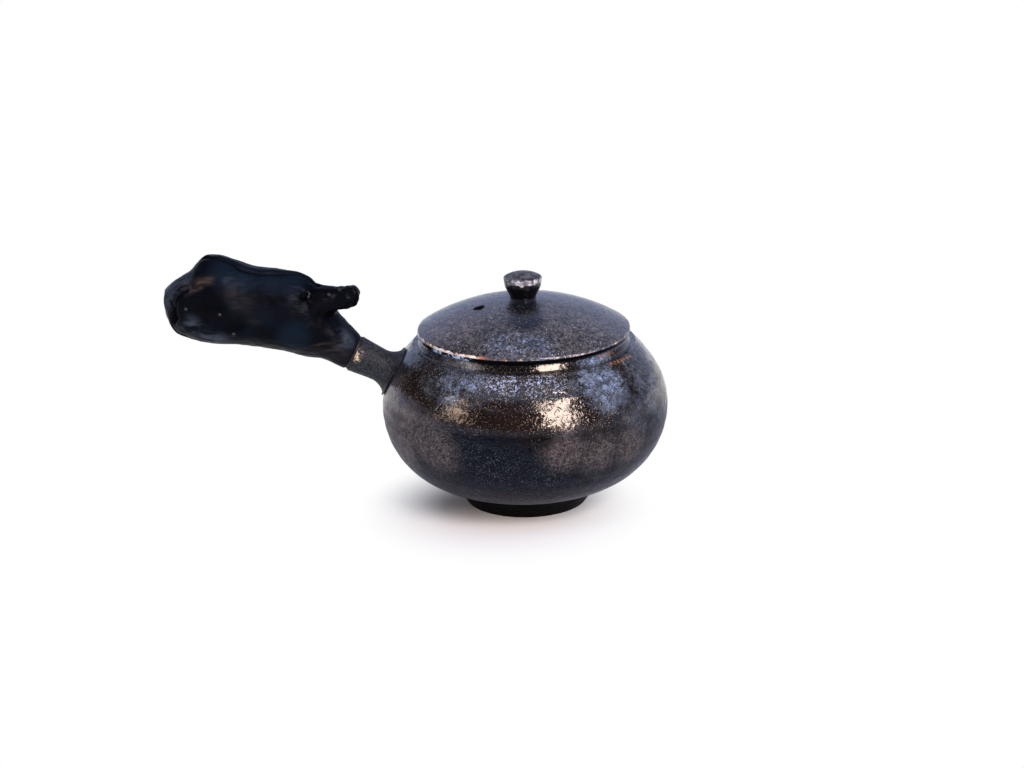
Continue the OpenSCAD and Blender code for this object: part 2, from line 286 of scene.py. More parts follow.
def linear(code: str) -> tuple[float, float, float, float]:
    """Turns an sRGB hex colour into a linear one.

    Args:
        code: Six hex digits after a hash.

    Returns:
        Red, green, blue and alpha.
    """
    parts = [int(code[k:k + 2], 16) / 255 for k in (1, 3, 5)]
    return (*[c / 12.92 if c <= 0.04045 else ((c + 0.055) / 1.055) ** 2.4 for c in parts], 1.0)


def add_node(tree: NodeTree, kind: str, *links: Link, named: dict[str, Link] | None = None,
             **settings: object) -> Node:
    """Adds a node with its settings and links.

    Args:
        tree: The tree that it goes into.
        kind: Its type's name, without the leading ShaderNode.
        links: What goes into its inputs, in their order: a socket, a node for its first output, a value or
            a hex colour. None leaves an input alone.
        named: The same for inputs given by name.
        settings: Properties of the node.

    Returns:
        The node.
    """
    node = tree.nodes.new("ShaderNode" + kind)
    for key, value in settings.items():
        setattr(node, key, value)
    for key, value in [*enumerate(links), *(named or {}).items()]:
        if isinstance(value, Node):
            value = value.outputs[0]
        if isinstance(value, NodeSocket):
            tree.links.new(value, node.inputs[key])
        elif value is not None:
            node.inputs[key].default_value = linear(value) if isinstance(value, str) else value
    return node


class Coat:
    """A material under construction: its tree, its coordinates and the patterns that finishes share."""

    def __init__(self, name: str) -> None:
        """Starts an empty material.

        Args:
            name: The material's common name.
        """
        self.material = bpy.data.materials.new(name)
        self.material.use_nodes = True
        self.tree = self.material.node_tree
        self.tree.nodes.clear()
        self.add = partial(add_node, self.tree)
        self.place = self.add("TexCoord").outputs["Object"]
        axes = self.add("SeparateXYZ", self.place)
        self.y, self.z = axes.outputs["Y"], axes.outputs["Z"]

    def mottle(self, size: float, low: float, high: float, detail: float = 3.0, offset: float = 0.0,
               vector: NodeSocket | None = None) -> Node:
        """Cloudy patches of a real size.

        Args:
            size: Width of a patch, in millimetres.
            low: Noise value that gives 0.
            high: Noise value that gives 1.
            detail: Octaves of finer noise.
            offset: Shift in the noise, so that two patterns of one size differ.
            vector: Coordinates, if not the piece's own.

        Returns:
            A node that gives 0 to 1.
        """
        moved = self.add("VectorMath", vector or self.place, (offset, offset, offset), operation="ADD")
        cloud = self.add("TexNoise", moved, None, 1 / (size * MM), detail, 0.6)
        return self.add("MapRange", cloud.outputs["Fac"], low, high, **SOFT)

    def grains(self, size: float) -> tuple[NodeSocket, ...]:
        """Close-packed crystals, each with three numbers of its own.

        Args:
            size: Width of a crystal, in millimetres.

        Returns:
            Three values from 0 to 1 that are the same all over a crystal.
        """
        cells = self.add("TexVoronoi", self.place, None, 1 / (size * MM))
        return tuple(self.add("SeparateColor", cells.outputs["Color"]).outputs)

    def facets(self, *layers: tuple[float, float]) -> Node:
        """Tilts the surface a little at random in each crystal, which breaks a highlight into sparks.

        Args:
            layers: Width of a crystal, in millimetres, and how far it leans.

        Returns:
            A node that gives the normal.
        """
        normal = self.add("NewGeometry").outputs["Normal"]
        for size, lean in layers:
            cells = self.add("TexVoronoi", self.place, None, 1 / (size * MM))
            way = self.add("VectorMath", cells.outputs["Color"], (0.5, 0.5, 0.5), operation="SUBTRACT")
            normal = self.add("VectorMath", way, (2 * lean,) * 3, normal, operation="MULTIPLY_ADD")
        return self.add("VectorMath", normal, operation="NORMALIZE")

    def spots(self, at: Points, inner: float, outer: float) -> Node:
        """The strongest of several soft spots round places on the piece.

        Args:
            at: The places, in millimetres.
            inner: Distance up to which each spot is full.
            outer: Distance at which each ends.

        Returns:
            A node that gives 1 at the places and 0 away from them.
        """
        nearest: Link = 1.0
        for place in at:
            away = self.add("VectorMath", self.place, metres(*place), operation="DISTANCE")
            nearest = self.add("Math", nearest, away.outputs["Value"], operation="MINIMUM")
        return self.add("MapRange", nearest, *metres(inner, outer), 1.0, 0.0, **SOFT)

    def band(self, value: NodeSocket, low: float, high: float, soft: float) -> Node:
        """A soft-edged band of a coordinate.

        Args:
            value: The coordinate, in metres.
            low: Its lower edge, in millimetres.
            high: Its upper edge, in millimetres.
            soft: Width of each edge, in millimetres.

        Returns:
            A node that gives 1 inside the band.
        """
        rise = self.add("MapRange", value, *metres(low - soft, low), **SOFT)
        fall = self.add("MapRange", value, *metres(high, high + soft), 1.0, 0.0, **SOFT)
        return self.add("Math", rise, fall, **TIMES)

    def radius(self) -> NodeSocket:
        """Distance from the pot's axis."""
        flat = self.add("VectorMath", self.place, (1, 1, 0), operation="MULTIPLY")
        return self.add("VectorMath", flat, operation="LENGTH").outputs["Value"]

    def specks(self, spacing: float, size: float, share: float) -> Node:
        """Small round grains that stand in some cells of a loose grid, many of them faint and few bright.

        Args:
            spacing: Mean distance of the cells, in millimetres.
            size: Radius of a grain, in millimetres.
            share: Share of the cells that hold a grain.

        Returns:
            A node that gives up to 1 in a grain.
        """
        cells = self.add("TexVoronoi", self.place, None, 1 / (spacing * MM))
        edge = size / spacing
        dot = self.add("MapRange", cells.outputs["Distance"], 0.5 * edge, edge, 1.0, 0.0, **SOFT)
        kept = self.add("MapRange", self.add("SeparateColor", cells.outputs["Color"]), 0.0, share, 1.0, 0.0)
        return self.add("Math", dot, self.add("Math", kept, kept, **TIMES), **TIMES)

    def relief(self, normal: Link, *layers: tuple[Link, float, float]) -> Node:
        """Stacks bumps from coarse to fine.

        Args:
            normal: The normal that they start from, if not the mesh's own.
            layers: Height pattern, depth in millimetres and strength of each bump.

        Returns:
            The last bump node.
        """
        for pattern, depth, strength in layers:
            normal = self.add("Bump", named={"Height": pattern, "Distance": depth * MM, "Strength": strength,
                                             "Normal": normal})
        return normal

    def weigh(self, share: Link, pattern: Link, low: float, high: float) -> Node:
        """Scales a share by a pattern.

        Args:
            share: The share.
            pattern: What scales it, from 0 to 1.
            low: Factor where the pattern is 0.
            high: Factor where it is 1.

        Returns:
            A node that gives the scaled share.
        """
        return self.add("Math", share, self.add("MapRange", pattern, 0, 1, low, high), **TIMES)

    def paint(self, colour: Link, *layers: tuple[Link, Link]) -> Link:
        """Lays colours over one another.

        Args:
            colour: The lowest colour.
            layers: How much each layer covers and its colour, from the lowest up.

        Returns:
            The mixed colour.
        """
        for share, over in layers:
            colour = self.add("MixRGB", share, colour, over)
        return colour

    def vary(self, colour: Link, pattern: Link, low: float, high: float) -> Node:
        """Darkens and lightens a colour by a pattern.

        Args:
            colour: The colour.
            pattern: What it goes by, from 0 to 1.
            low: Factor where the pattern is 0.
            high: Factor where it is 1.

        Returns:
            A node that gives the uneven colour.
        """
        factor = self.add("MapRange", pattern, 0, 1, low, high)
        return self.add("MixRGB", 1.0, colour, factor, blend_type="MULTIPLY")

    def close(self, colour: Link, roughness: Link, normal: Link, metallic: Link = 0.0,
              **sockets: object) -> Material:
        """Ends the tree in one Principled shader.

        Args:
            colour: Base colour.
            roughness: Roughness.
            normal: Normal from the relief.
            metallic: Share of metallic lustre.
            sockets: Constants of the shader's own sockets, with _ for a space.

        Returns:
            The material.
        """
        links = {"Base Color": colour, "Roughness": roughness, "Metallic": metallic, "Normal": normal}
        links.update({key.replace("_", " "): value for key, value in sockets.items()})
        self.add("OutputMaterial", self.add("BsdfPrincipled", named=links))
        return self.material


# Finishes


@dataclass(frozen=True)
class IronGlaze:
    """Iron-saturated stoneware glaze, wood-fired.

    A brown-black glass full of fine metallic crystals: the eye sees sparks in its highlights, steel blue
    on the shoulder, a dull charcoal below and pale ash grains all over.
    """

    name: str = "iron_glaze"
    black: str = "#0a0808"
    charcoal: str = "#161923"
    brown: str = "#584f51"
    umber: str = "#160e0b"
    slate: str = "#434b59"
    crystal: str = "#7d7468"
    steel: str = "#c2cae4"
    blue: str = "#98a4bd"
    sky: str = "#556680"
    rust: str = "#7d543b"
    gold: str = "#b39f86"
    ash: str = "#989eac"
    brown_at: Points = ((-40, -29, 38.5), (-34, -36.5, 35), (-30, -39.5, 32), (13, -48, 34.5), (24, -43.4, 32),
                        (35, -34.5, 32), (-46, -17, 43), (-46.5, -16, 36), (-41, -25, 30))
    umber_at: Points = ((-37, -22, 52.5), (-35.5, -28.5, 49), (-15, -44, 46), (-6, -47.5, 44.5), (3, -48.5, 42.5),
                        (24, -42.5, 42))
    slate_at: Points = ((-29, -29, 54), (-25, -32, 55.5), (-19, -37, 54.5), (-24, -36, 51.5), (20.5, -36, 54.7),
                        (28, -31, 53.5), (28, -36, 49), (42, -23, 44), (37, -21, 52), (44, -17, 45),
                        (38.5, -31, 38.5), (43.5, -23, 37), (46.5, -14, 37))
    steel_at: Points = ((-11, -38.6, 55.6), (-6, -40.7, 55), (3, -41, 55), (9, -39.4, 55.6))
    blue_at: Points = ((20.5, -36, 54.7), (25.7, -32, 55.2), (30, -31, 52.5), (27, -36.5, 50), (-19, -37, 54.5),
                       (-26, -32.5, 54.5), (-24, -36, 51.5))
    rust_at: Points = ((29.2, -26.3, 56.9), (30.4, -24.9, 56.9), (31.6, -23.4, 56.9), (32.7, -22, 56.8),
                       (33.8, -20.4, 56.8), (34.8, -18.7, 56.7), (35.8, -16.9, 56.6))
    dry_at: Points = ()
    back_y: Span = (-14.0, 10.0)
    back_brown_z: Span = (26.0, 40.0)
    back_steel_z: Span = (50.0, 56.0)
    dull_z: Span = (42.5, 38.5)
    matt_z: Span = (39.5, 33.5)
    bottom_z: Span = (20.0, 11.0)
    # Crystals and ash grains are finer on a real pot, and are drawn as coarse as they need to be to show
    crystal_d: float = 0.42
    sparkle: float = 1.0
    lean: float = 1.0
    gloss: float = 0.08

    def build(self) -> Material:
        """Makes the material.

        Returns:
            The material.
        """
        c = Coat(self.name)
        add = c.add
        cloud, broken = c.mottle(24, 0.38, 0.66), c.mottle(3.4, 0.42, 0.6, 4)
        back = add("MapRange", c.y, *metres(*self.back_y), **SOFT)
        low = add("MapRange", c.z, *metres(*self.dull_z), **SOFT)
        matt = add("MapRange", c.z, *metres(*self.matt_z), **SOFT)
        chance, gleam, tone = c.grains(self.crystal_d)
        # The body of the glass, from black to charcoal, with browner and bluer zones
        bottom = add("MapRange", c.z, *metres(*self.bottom_z), 0.0, 0.8, **SOFT)
        behind = add("Math", c.band(c.z, *self.back_brown_z, 8), c.mottle(20, 0.45, 0.6, offset=0.8), **TIMES)
        warm = add("Math", c.spots(self.brown_at, 3, 12), add("Math", back, behind, **TIMES), **MOST)
        # Slate haze; at the right edge it lightens the lower bowl as a painted reflection
        haze_and_sheen = c.weigh(c.spots(self.slate_at, 3, 10), broken, 0.15, 0.75)
        milky = add("Math", c.spots(self.blue_at, 1, 6.5), c.mottle(2.2, 0.44, 0.66, 5, 1.1), **TIMES)
        shade = c.paint(self.black, (low, self.charcoal), (bottom, self.umber),
                        (c.weigh(warm, c.mottle(2.0, 0.36, 0.62, 4, 0.4), 0.4, 0.9), self.brown),
                        (c.weigh(c.spots(self.umber_at, 3, 11), cloud, 0.6, 1.0), self.umber),
                        (c.weigh(haze_and_sheen, c.mottle(6, 0.4, 0.56, 2, 1.7), 0.4, 1.0), self.slate), (milky, self.sky))
        # Each crystal is a little lighter or darker than the next
        shade = c.vary(shade, tone, 0.3, 1.7)
        # Metallic crystals, warm on the belly and blue on the shoulder
        behind = add("Math", back, c.band(c.z, *self.back_steel_z, 5), **TIMES)
        cold = add("Math", c.spots(self.steel_at, 2, 7.5), behind, **MOST)
        rich = add("Math", cold, add("Math", c.spots(self.blue_at, 1.5, 7), 0.6, **TIMES), **MOST)
        bright = add("MapRange", chance, add("MapRange", rich, 0, 1, 0.995, 0.55), 1.0, **SOFT)
        bright = c.weigh(bright, broken, 0.35, self.sparkle)
        pits = c.specks(3.6, 0.55, 0.5)
        lustre = add("Math", c.weigh(bright, low, 1.0, 0.0), pits, **LESS)
        metal = c.paint(self.crystal, (cold, self.steel), (c.spots(self.blue_at, 2, 8), self.blue))
        fired = add("Math", c.spots(self.rust_at, 0.1, 1.2), c.mottle(1.1, 0.36, 0.58, offset=0.5), **TIMES)
        # Ash grains, thicker in some places
        ash = add("Math", c.specks(0.42, 0.12, 1.0), c.specks(0.9, 0.15, 1.0), **MOST)
        ash = c.weigh(ash, c.mottle(16, 0.4, 0.6, offset=2.1), 0.35, 1.0)
        dust = add("MixRGB", low, self.gold, self.ash)
        shade = c.paint(shade, (lustre, metal), (fired, self.rust), (ash, dust))
        # Iron dulls the glass below the belly, which mirrors little there
        dull = add("Math", add("Math", low, 0.94, **TIMES), lustre, **MOST)
        uneven = add("MapRange", gleam, 0, 1, 0.0, 0.06)
        rough = add("Math", add("MapRange", matt, 0, 1, self.gloss, 0.4), uneven, **PLUS)
        rough = add("Math", rough, add("Math", c.spots(self.dry_at, 2, 6), 0.25, **TIMES), **PLUS)
        normal = c.relief(c.facets((0.45, 0.027 * self.lean), (1.3, 0.03 * self.lean)),
                          (broken, 0.2 * self.lean, 0.25), (pits, -0.25, 0.6), (ash, 0.08, 0.5))
        return c.close(shade, rough, normal, dull, IOR=1.58, Specular_Tint=linear("#e2e0e4"), Sheen_Weight=0.1,
                       Sheen_Roughness=0.3, Sheen_Tint=linear("#a8b8f4"))


# On the neck the slate and blue spots are painted blue-grey reflections
NECK_GLAZE = IronGlaze(
    name="neck_glaze", rust="#6b4a36", sparkle=0.3, lean=0.6, gloss=0.06, steel_at=((0, 30, 59),),
    slate_at=((-28, -22, 58.5), (-24, -27, 58.4), (-20, -30, 58.3), (24, -26, 58.6)),
    blue_at=((21, -29, 58.5), (25.5, -25, 58.8), (-19, -30.8, 58.2)),
    rust_at=((25, -25.9, 59.4), (26.2, -24.7, 59.3), (27.3, -23.4, 59.2), (28.4, -22, 59.2), (29.5, -20.4, 59)),
    dry_at=((-24, -27, 58.4), (-19, -30.5, 58.2)))


@dataclass(frozen=True)
class LidGlaze:
    """The same glaze thin and dry on the lid: grey-violet and grainy, rubbed to bare clay along the rim."""

    name: str = "dry_iron_glaze"
    violet: str = "#33353b"
    brown: str = "#4e4a4d"
    blue: str = "#5a6c90"
    dark: str = "#0b0d13"
    ash: str = "#c4c8d4"
    cream: str = "#d2cac6"
    tan: str = "#a08b80"
    gap: str = "#0a090b"
    rust: str = "#a3663b"
    sky: str = "#8fa3c4"
    brown_at: Points = ((-29, -6, 66.6), (-27, -12, 66.6), (-23, -15, 67.6))
    blue_at: Points = ((-7, -30.5, 66), (-1, -31, 66), (4, -31.5, 65.6))
    # Places of a painted shadow of the knob
    painted_shade_at: Points = ((0.5, -8, 73), (0.5, -13.5, 72), (1, -19, 70.5))
    tan_at: Points = ((-35.5, -8, 62.4), (-33, -15, 62.4), (-30, -21, 62.4), (-26.3, -25.8, 62.4),
                      (-22.3, -29.4, 62.4), (-18.5, -31.9, 62.4))
    rust_at: Points = ((-13, -34.3, 62.4), (-9.5, -35.5, 62.4), (36, -5.5, 62.4), (34.5, -11, 62.4),
                       (32.5, -16, 62.4))
    # Places of painted blue reflections on the rim's side
    reflection_at: Points = ((-29, -23, 61.4), (-25, -27, 61.4), (-21, -30, 61.4))
    hole_black_at: Points = ((-15.1, -5.2, 71.4), (-15.1, -5.2, 69.4), (-15.1, -5.2, 67.4))
    ash_y: Span = (-12.0, -34.0)
    rim_r: Span = (36.8, 36.95)
    rim_z: Span = (61.7, 62.0)
    crystal_d: float = 0.55

    def build(self) -> Material:
        """Makes the material.

        Returns:
            The material.
        """
        c = Coat(self.name)
        add = c.add
        cloud = c.mottle(14, 0.36, 0.66)
        chance, gleam, tone = c.grains(self.crystal_d)
        # Thin glaze, browner on the left and bluer in front, with a painted shadow of the knob in front of it
        # The brown patches on the left are also lighter: a painted sheen
        warm = add("Math", c.spots(self.brown_at, 4, 14), add("Math", cloud, 0.55, **TIMES), **MOST)
        front = c.weigh(c.spots(self.blue_at, 1, 10), c.mottle(3, 0.38, 0.6), 0.4, 0.9)
        front = add("Math", front, add("MapRange", chance, 0.3, 0.9, 0.1, 0.7), **TIMES)
        shade = c.paint(self.violet, (c.weigh(warm, c.mottle(2.6, 0.36, 0.64, 4), 0.3, 0.9), self.brown),
                        (front, self.blue), (c.spots(self.painted_shade_at, 3, 9), self.dark))
        shade = c.vary(c.vary(shade, tone, 0.35, 1.65), c.mottle(1.5, 0.3, 0.7, 2), 0.5, 1.5)
        ash = add("Math", c.specks(0.75, 0.18, 1.0), c.specks(1.5, 0.25, 1.0), **MOST)
        ash = add("Math", ash, add("MapRange", c.y, *metres(*self.ash_y), 0.4, 1.0, **SOFT), **TIMES)
        # Bare clay in a ragged line along the rim
        clay = c.paint(self.cream, (c.mottle(4, 0.42, 0.58), self.tan),
                       (c.spots(self.rust_at, 1.5, 4.5), self.rust))
        broad = c.spots(self.tan_at, 3, 8)
        reach = c.weigh(c.mottle(2.2, 0.3, 0.7, 4, 0.9), broad, 0.1, 0.5)
        ragged = add("Math", reach, MM, c.radius(), operation="MULTIPLY_ADD")
        edge = add("Math", add("MapRange", ragged, *metres(*self.rim_r), **SOFT),
                   add("MapRange", c.z, *metres(*self.rim_z), **SOFT), **TIMES)
        rubbed = add("Math", c.mottle(4, 0.44, 0.58, 4, 0.2), broad, **MOST)
        worn = add("Math", edge, rubbed, **TIMES)
        # The rim's side is dark and mirrors little, with a few pale blue spots of painted reflection
        reflection_spots = add("Math", c.spots(self.reflection_at, 2, 5), c.mottle(1.8, 0.45, 0.55, 3, 1.4), **TIMES)
        side = add("MapRange", c.z, *metres(*reversed(self.rim_z)), **SOFT)
        # Black in and round the steam hole
        hole_black = c.spots(self.hole_black_at, 2.0, 2.8)
        shade = c.paint(shade, (ash, self.ash), (hole_black, self.gap), (worn, clay),
                        (side, add("MixRGB", reflection_spots, self.gap, self.sky)))
        dull = add("Math", side, add("Math", reflection_spots, 0.9, **TIMES), **LESS)
        rough = add("MapRange", gleam, 0, 1, 0.16, 0.3)
        normal = c.relief(c.facets((0.55, 0.04), (1.5, 0.025)), (cloud, 0.3, 0.15), (ash, 0.1, 0.5))
        return c.close(shade, rough, normal, dull, IOR=1.5, Specular_Tint=linear("#d8e2ff"), Sheen_Weight=0.06,
                       Sheen_Roughness=0.3, Sheen_Tint=linear("#a4b6ff"))


@dataclass(frozen=True)
class KnobGlaze:
    """Knob: a grey dry cap, an edge rubbed to silver and tan, and a black glassy stem."""

    name: str = "knob_glaze"
    grey: str = "#4a4c54"
    dark: str = "#212228"
    black: str = "#060506"
    silver: str = "#a4aaba"
    tan: str = "#8f745e"
    edge_z: Span = (79.0, 80.5)
    edge_r: Span = (5.7, 6.2)
    rub_at: Points = ((0.5, -6.5, 79.8), (3.5, -5.6, 79.8), (-1, 6.5, 79.8))
    crystal_d: float = 0.42

    def build(self) -> Material:
        """Makes the material.

        Returns:
            The material.
        """
        c = Coat(self.name)
        add = c.add
        low, high = self.edge_z
        patch = c.mottle(3.4, 0.4, 0.6)
        _, gleam, tone = c.grains(self.crystal_d)
        cap = c.vary(add("MixRGB", patch, self.grey, self.dark), tone, 0.5, 1.5)
        ragged = add("Math", c.mottle(1.8, 0.3, 0.7), 0.9 * MM, c.z, operation="MULTIPLY_ADD")
        stem = add("MapRange", ragged, *metres(low + 0.7, low + 0.2), **SOFT)
        upright = add("Math", c.band(ragged, low + 0.6, high + 0.5, 0.4),
                      add("MapRange", c.radius(), *metres(*self.edge_r), **SOFT), **TIMES)
        rub = c.weigh(upright, c.mottle(1.5, 0.42, 0.58), 0.15, 1.0)
        rub = c.weigh(rub, c.spots(self.rub_at, 2, 7), 0.35, 1.0)
        bare = add("MixRGB", c.mottle(3, 0.5, 0.64, offset=0.4), self.silver, self.tan)
        shade = c.paint(cap, (stem, self.black), (rub, bare))
        uneven = add("MapRange", gleam, 0, 1, 0, 0.1)
        rough = add("Math", add("MapRange", stem, 0, 1, 0.36, 0.12), uneven, **PLUS)
        normal = c.relief(c.facets((self.crystal_d, 0.06)), (patch, 0.2, 0.2))
        return c.close(shade, rough, normal, IOR=1.4, Specular_Tint=linear("#dfe6ff"))


@dataclass(frozen=True)
class BareClay:
    """Unglazed stoneware or dry slip: matt and gritty, with paler grog and dark pits."""

    name: str
    body: str
    pale: str
    dark: str
    rough: float = 0.75
    glint: str = "#b3a591"
    glint_at: Points = ()
    ior: float = 1.45
    grain_d: float = 0.5

    def build(self) -> Material:
        """Makes the material.

        Returns:
            The material.
        """
        c = Coat(self.name)
        add = c.add
        grit, patch = c.mottle(0.8, 0.32, 0.7), c.mottle(5, 0.4, 0.62)
        grog, pits = c.specks(1.3, 0.28, 0.8), c.specks(1.7, 0.34, 0.8)
        _, gleam, tone = c.grains(self.grain_d)
        shade = c.paint(self.body, (add("Math", patch, 0.8, **TIMES), self.dark),
                        (add("Math", grit, 0.5, **TIMES), self.pale))
        shade = c.paint(c.vary(shade, tone, 0.4, 1.6), (grog, self.pale), (pits, self.dark))
        rough = add("MapRange", gleam, 0, 1, self.rough - 0.1, self.rough + 0.1)
        # Painted glint: a small pale tan spot near the socket's mouth, also smoother there
        if self.glint_at:
            shine = add("Math", c.spots(self.glint_at, 0.4, 2.2), c.mottle(1.1, 0.42, 0.56, offset=0.2), **TIMES)
            shade = add("MixRGB", shine, shade, self.glint)
            rough = add("Math", rough, add("Math", shine, 0.35, **TIMES), **LESS)
        normal = c.relief(None, (patch, 0.25, 0.3), (grit, 0.2, 0.6), (pits, -0.2, 0.5))
        return c.close(shade, rough, normal, IOR=self.ior, Specular_Tint=linear("#dfe6ff"))


DRY_CLAY = BareClay("dry_stoneware", "#4a4039", "#6d6258", "#2a2420")
FOOT_CLAY = BareClay("black_foot_clay", "#040404", "#0c0b0b", "#020202", 0.55, ior=1.12)
SOCKET_SLIP = BareClay("dry_slip", "#131519", "#383d47", "#050608", 0.5, ior=1.3,
                       glint_at=((-57.2, -5.6, 56.0), (-57.8, -6.2, 54.6)))


@dataclass(frozen=True)
class EbonisedBurl:
    """Burl wood stained black and oiled: a satin blue-black skin, worn brown where the grain shows, with painted
    sheen, glints and shade.
    """

    name: str = "ebonised_burl"
    black: str = "#04050a"
    blue: str = "#0a1420"
    sheen_grey: str = "#333b49"
    brown: str = "#423a37"
    red: str = "#1a1215"
    # Painted shade in the cracks and hollows
    hollow: str = "#020203"
    pale: str = "#85878d"
    # Places of a painted blue sheen along the top
    blue_at: Points = ((-94.6, -6.7, 84.4), (-86.2, -6.3, 82.4), (-79.5, -5.2, 81.9), (-101.2, -7.6, 86.6),
                       (-79, -10.4, 63.8))
    # Places of a painted grey-blue sheen at the left end and by the socket
    sheen_at: Points = ((-113.4, -9.3, 67.9), (-108.5, -9, 64.1), (-105.2, -8.6, 62.8), (-115.6, -7.1, 65.1),
                         (-121.2, -3.6, 79.5), (-118.9, -4.9, 80.9), (-121.5, -5.5, 76.5), (-116, -7, 83),
                         (-61.9, -6.4, 61.1))
    # Places of painted glints on the nubs
    nub_glint_at: Points = ((-103.3, -12, 72.8), (-115, -9.7, 74.4), (-66.3, -7.5, 77.8), (-62.6, -6.1, 78.9),
                       (-99.2, -10.5, 65.4), (-73.6, -6.3, 78.8), (-73.2, -6.7, 78), (-73.4, -7.1, 77.2))
    # Places of painted shade in the hollows and under the twig
    painted_shade_at: Points = ((-108.3, -11.7, 73.5), (-104.6, -12, 73.1), (-98.5, -11.3, 67.8), (-88.9, -9.5, 77.7),
                       (-85.6, -9.8, 76.3), (-75.5, -7.7, 76.9), (-69, -8.3, 68.3), (-67.8, -8.8, 64.2),
                       (-89.6, -10.3, 64.4))
    grain_turn: float = -16.0
    grain_stretch: float = 0.12

    def build(self) -> Material:
        """Makes the material.

        Returns:
            The material.
        """
        c = Coat(self.name)
        add = c.add
        along = add("Mapping", named={"Vector": c.place, "Scale": (self.grain_stretch, 1.0, 1.0),
                                      "Rotation": (0, math.radians(self.grain_turn), 0)}).outputs[0]
        fibre, figure = c.mottle(0.9, 0.32, 0.7, vector=along), c.mottle(4, 0.36, 0.66, vector=along)
        cloud = c.mottle(14, 0.4, 0.64)
        bare, recess = (add("Attribute", attribute_name=name).outputs["Fac"] for name in ("bare", "recess"))
        # Painted sheen: blue along the top, grey-blue at the left end and by the socket
        blue_sheen = add("Math", c.spots(self.blue_at, 2, 9), add("Math", cloud, 0.4, **TIMES), **MOST)
        rubbed = add("Math", c.spots(self.sheen_at, 0, 6), c.mottle(3, 0.36, 0.58, 4, vector=along), **TIMES)
        # Painted shade: near black in the cracks and hollows, and in spots on the front and under the twig
        shade_mask = c.weigh(c.spots(self.painted_shade_at, 0.5, 7), figure, 0.95, 0.5)
        # Painted glints: small pale spots on the nubs
        shade = c.paint(self.black, (blue_sheen, self.blue), (add("Math", figure, 0.1, **TIMES), self.red),
                        (rubbed, self.sheen_grey),
                        (c.weigh(bare, fibre, 0.2, 0.85), add("MixRGB", figure, self.brown, self.red)),
                        (add("Math", recess, shade_mask, **MOST), self.hollow),
                        (add("Math", c.spots(self.nub_glint_at, 0.0, 0.8), 0.22, **TIMES), self.pale))
        rough = add("Math", add("MapRange", cloud, 0, 1, 0.3, 0.42), add("Math", recess, 0.4, **TIMES), **PLUS)
        rough = add("Math", rough, add("Math", fibre, 0.08, **TIMES), **PLUS)
        normal = c.relief(None, (figure, 0.2, 0.25), (fibre, 0.1, 0.35))
        return c.close(shade, rough, normal, IOR=1.45, Specular_IOR_Level=0.05, Specular_Tint=linear("#c4d4ff"))


@dataclass(frozen=True)
class LacquerPutty:
    """Lacquer thickened with clay dust: near black, dull, a little lumpy."""

    name: str = "lacquer_putty"
    black: str = "#0b0a0b"
    dust: str = "#2a2523"

    def build(self) -> Material:
        """Makes the material.

        Returns:
            The material.
        """
        c = Coat(self.name)
        lump = c.mottle(1.2, 0.35, 0.7)
        shade = c.add("MixRGB", c.add("Math", lump, 0.6, **TIMES), self.black, self.dust)
        rough = c.add("MapRange", lump, 0, 1, 0.35, 0.6)
        return c.close(shade, rough, c.relief(None, (lump, 0.2, 0.5)), IOR=1.45)


# Sub-assemblies


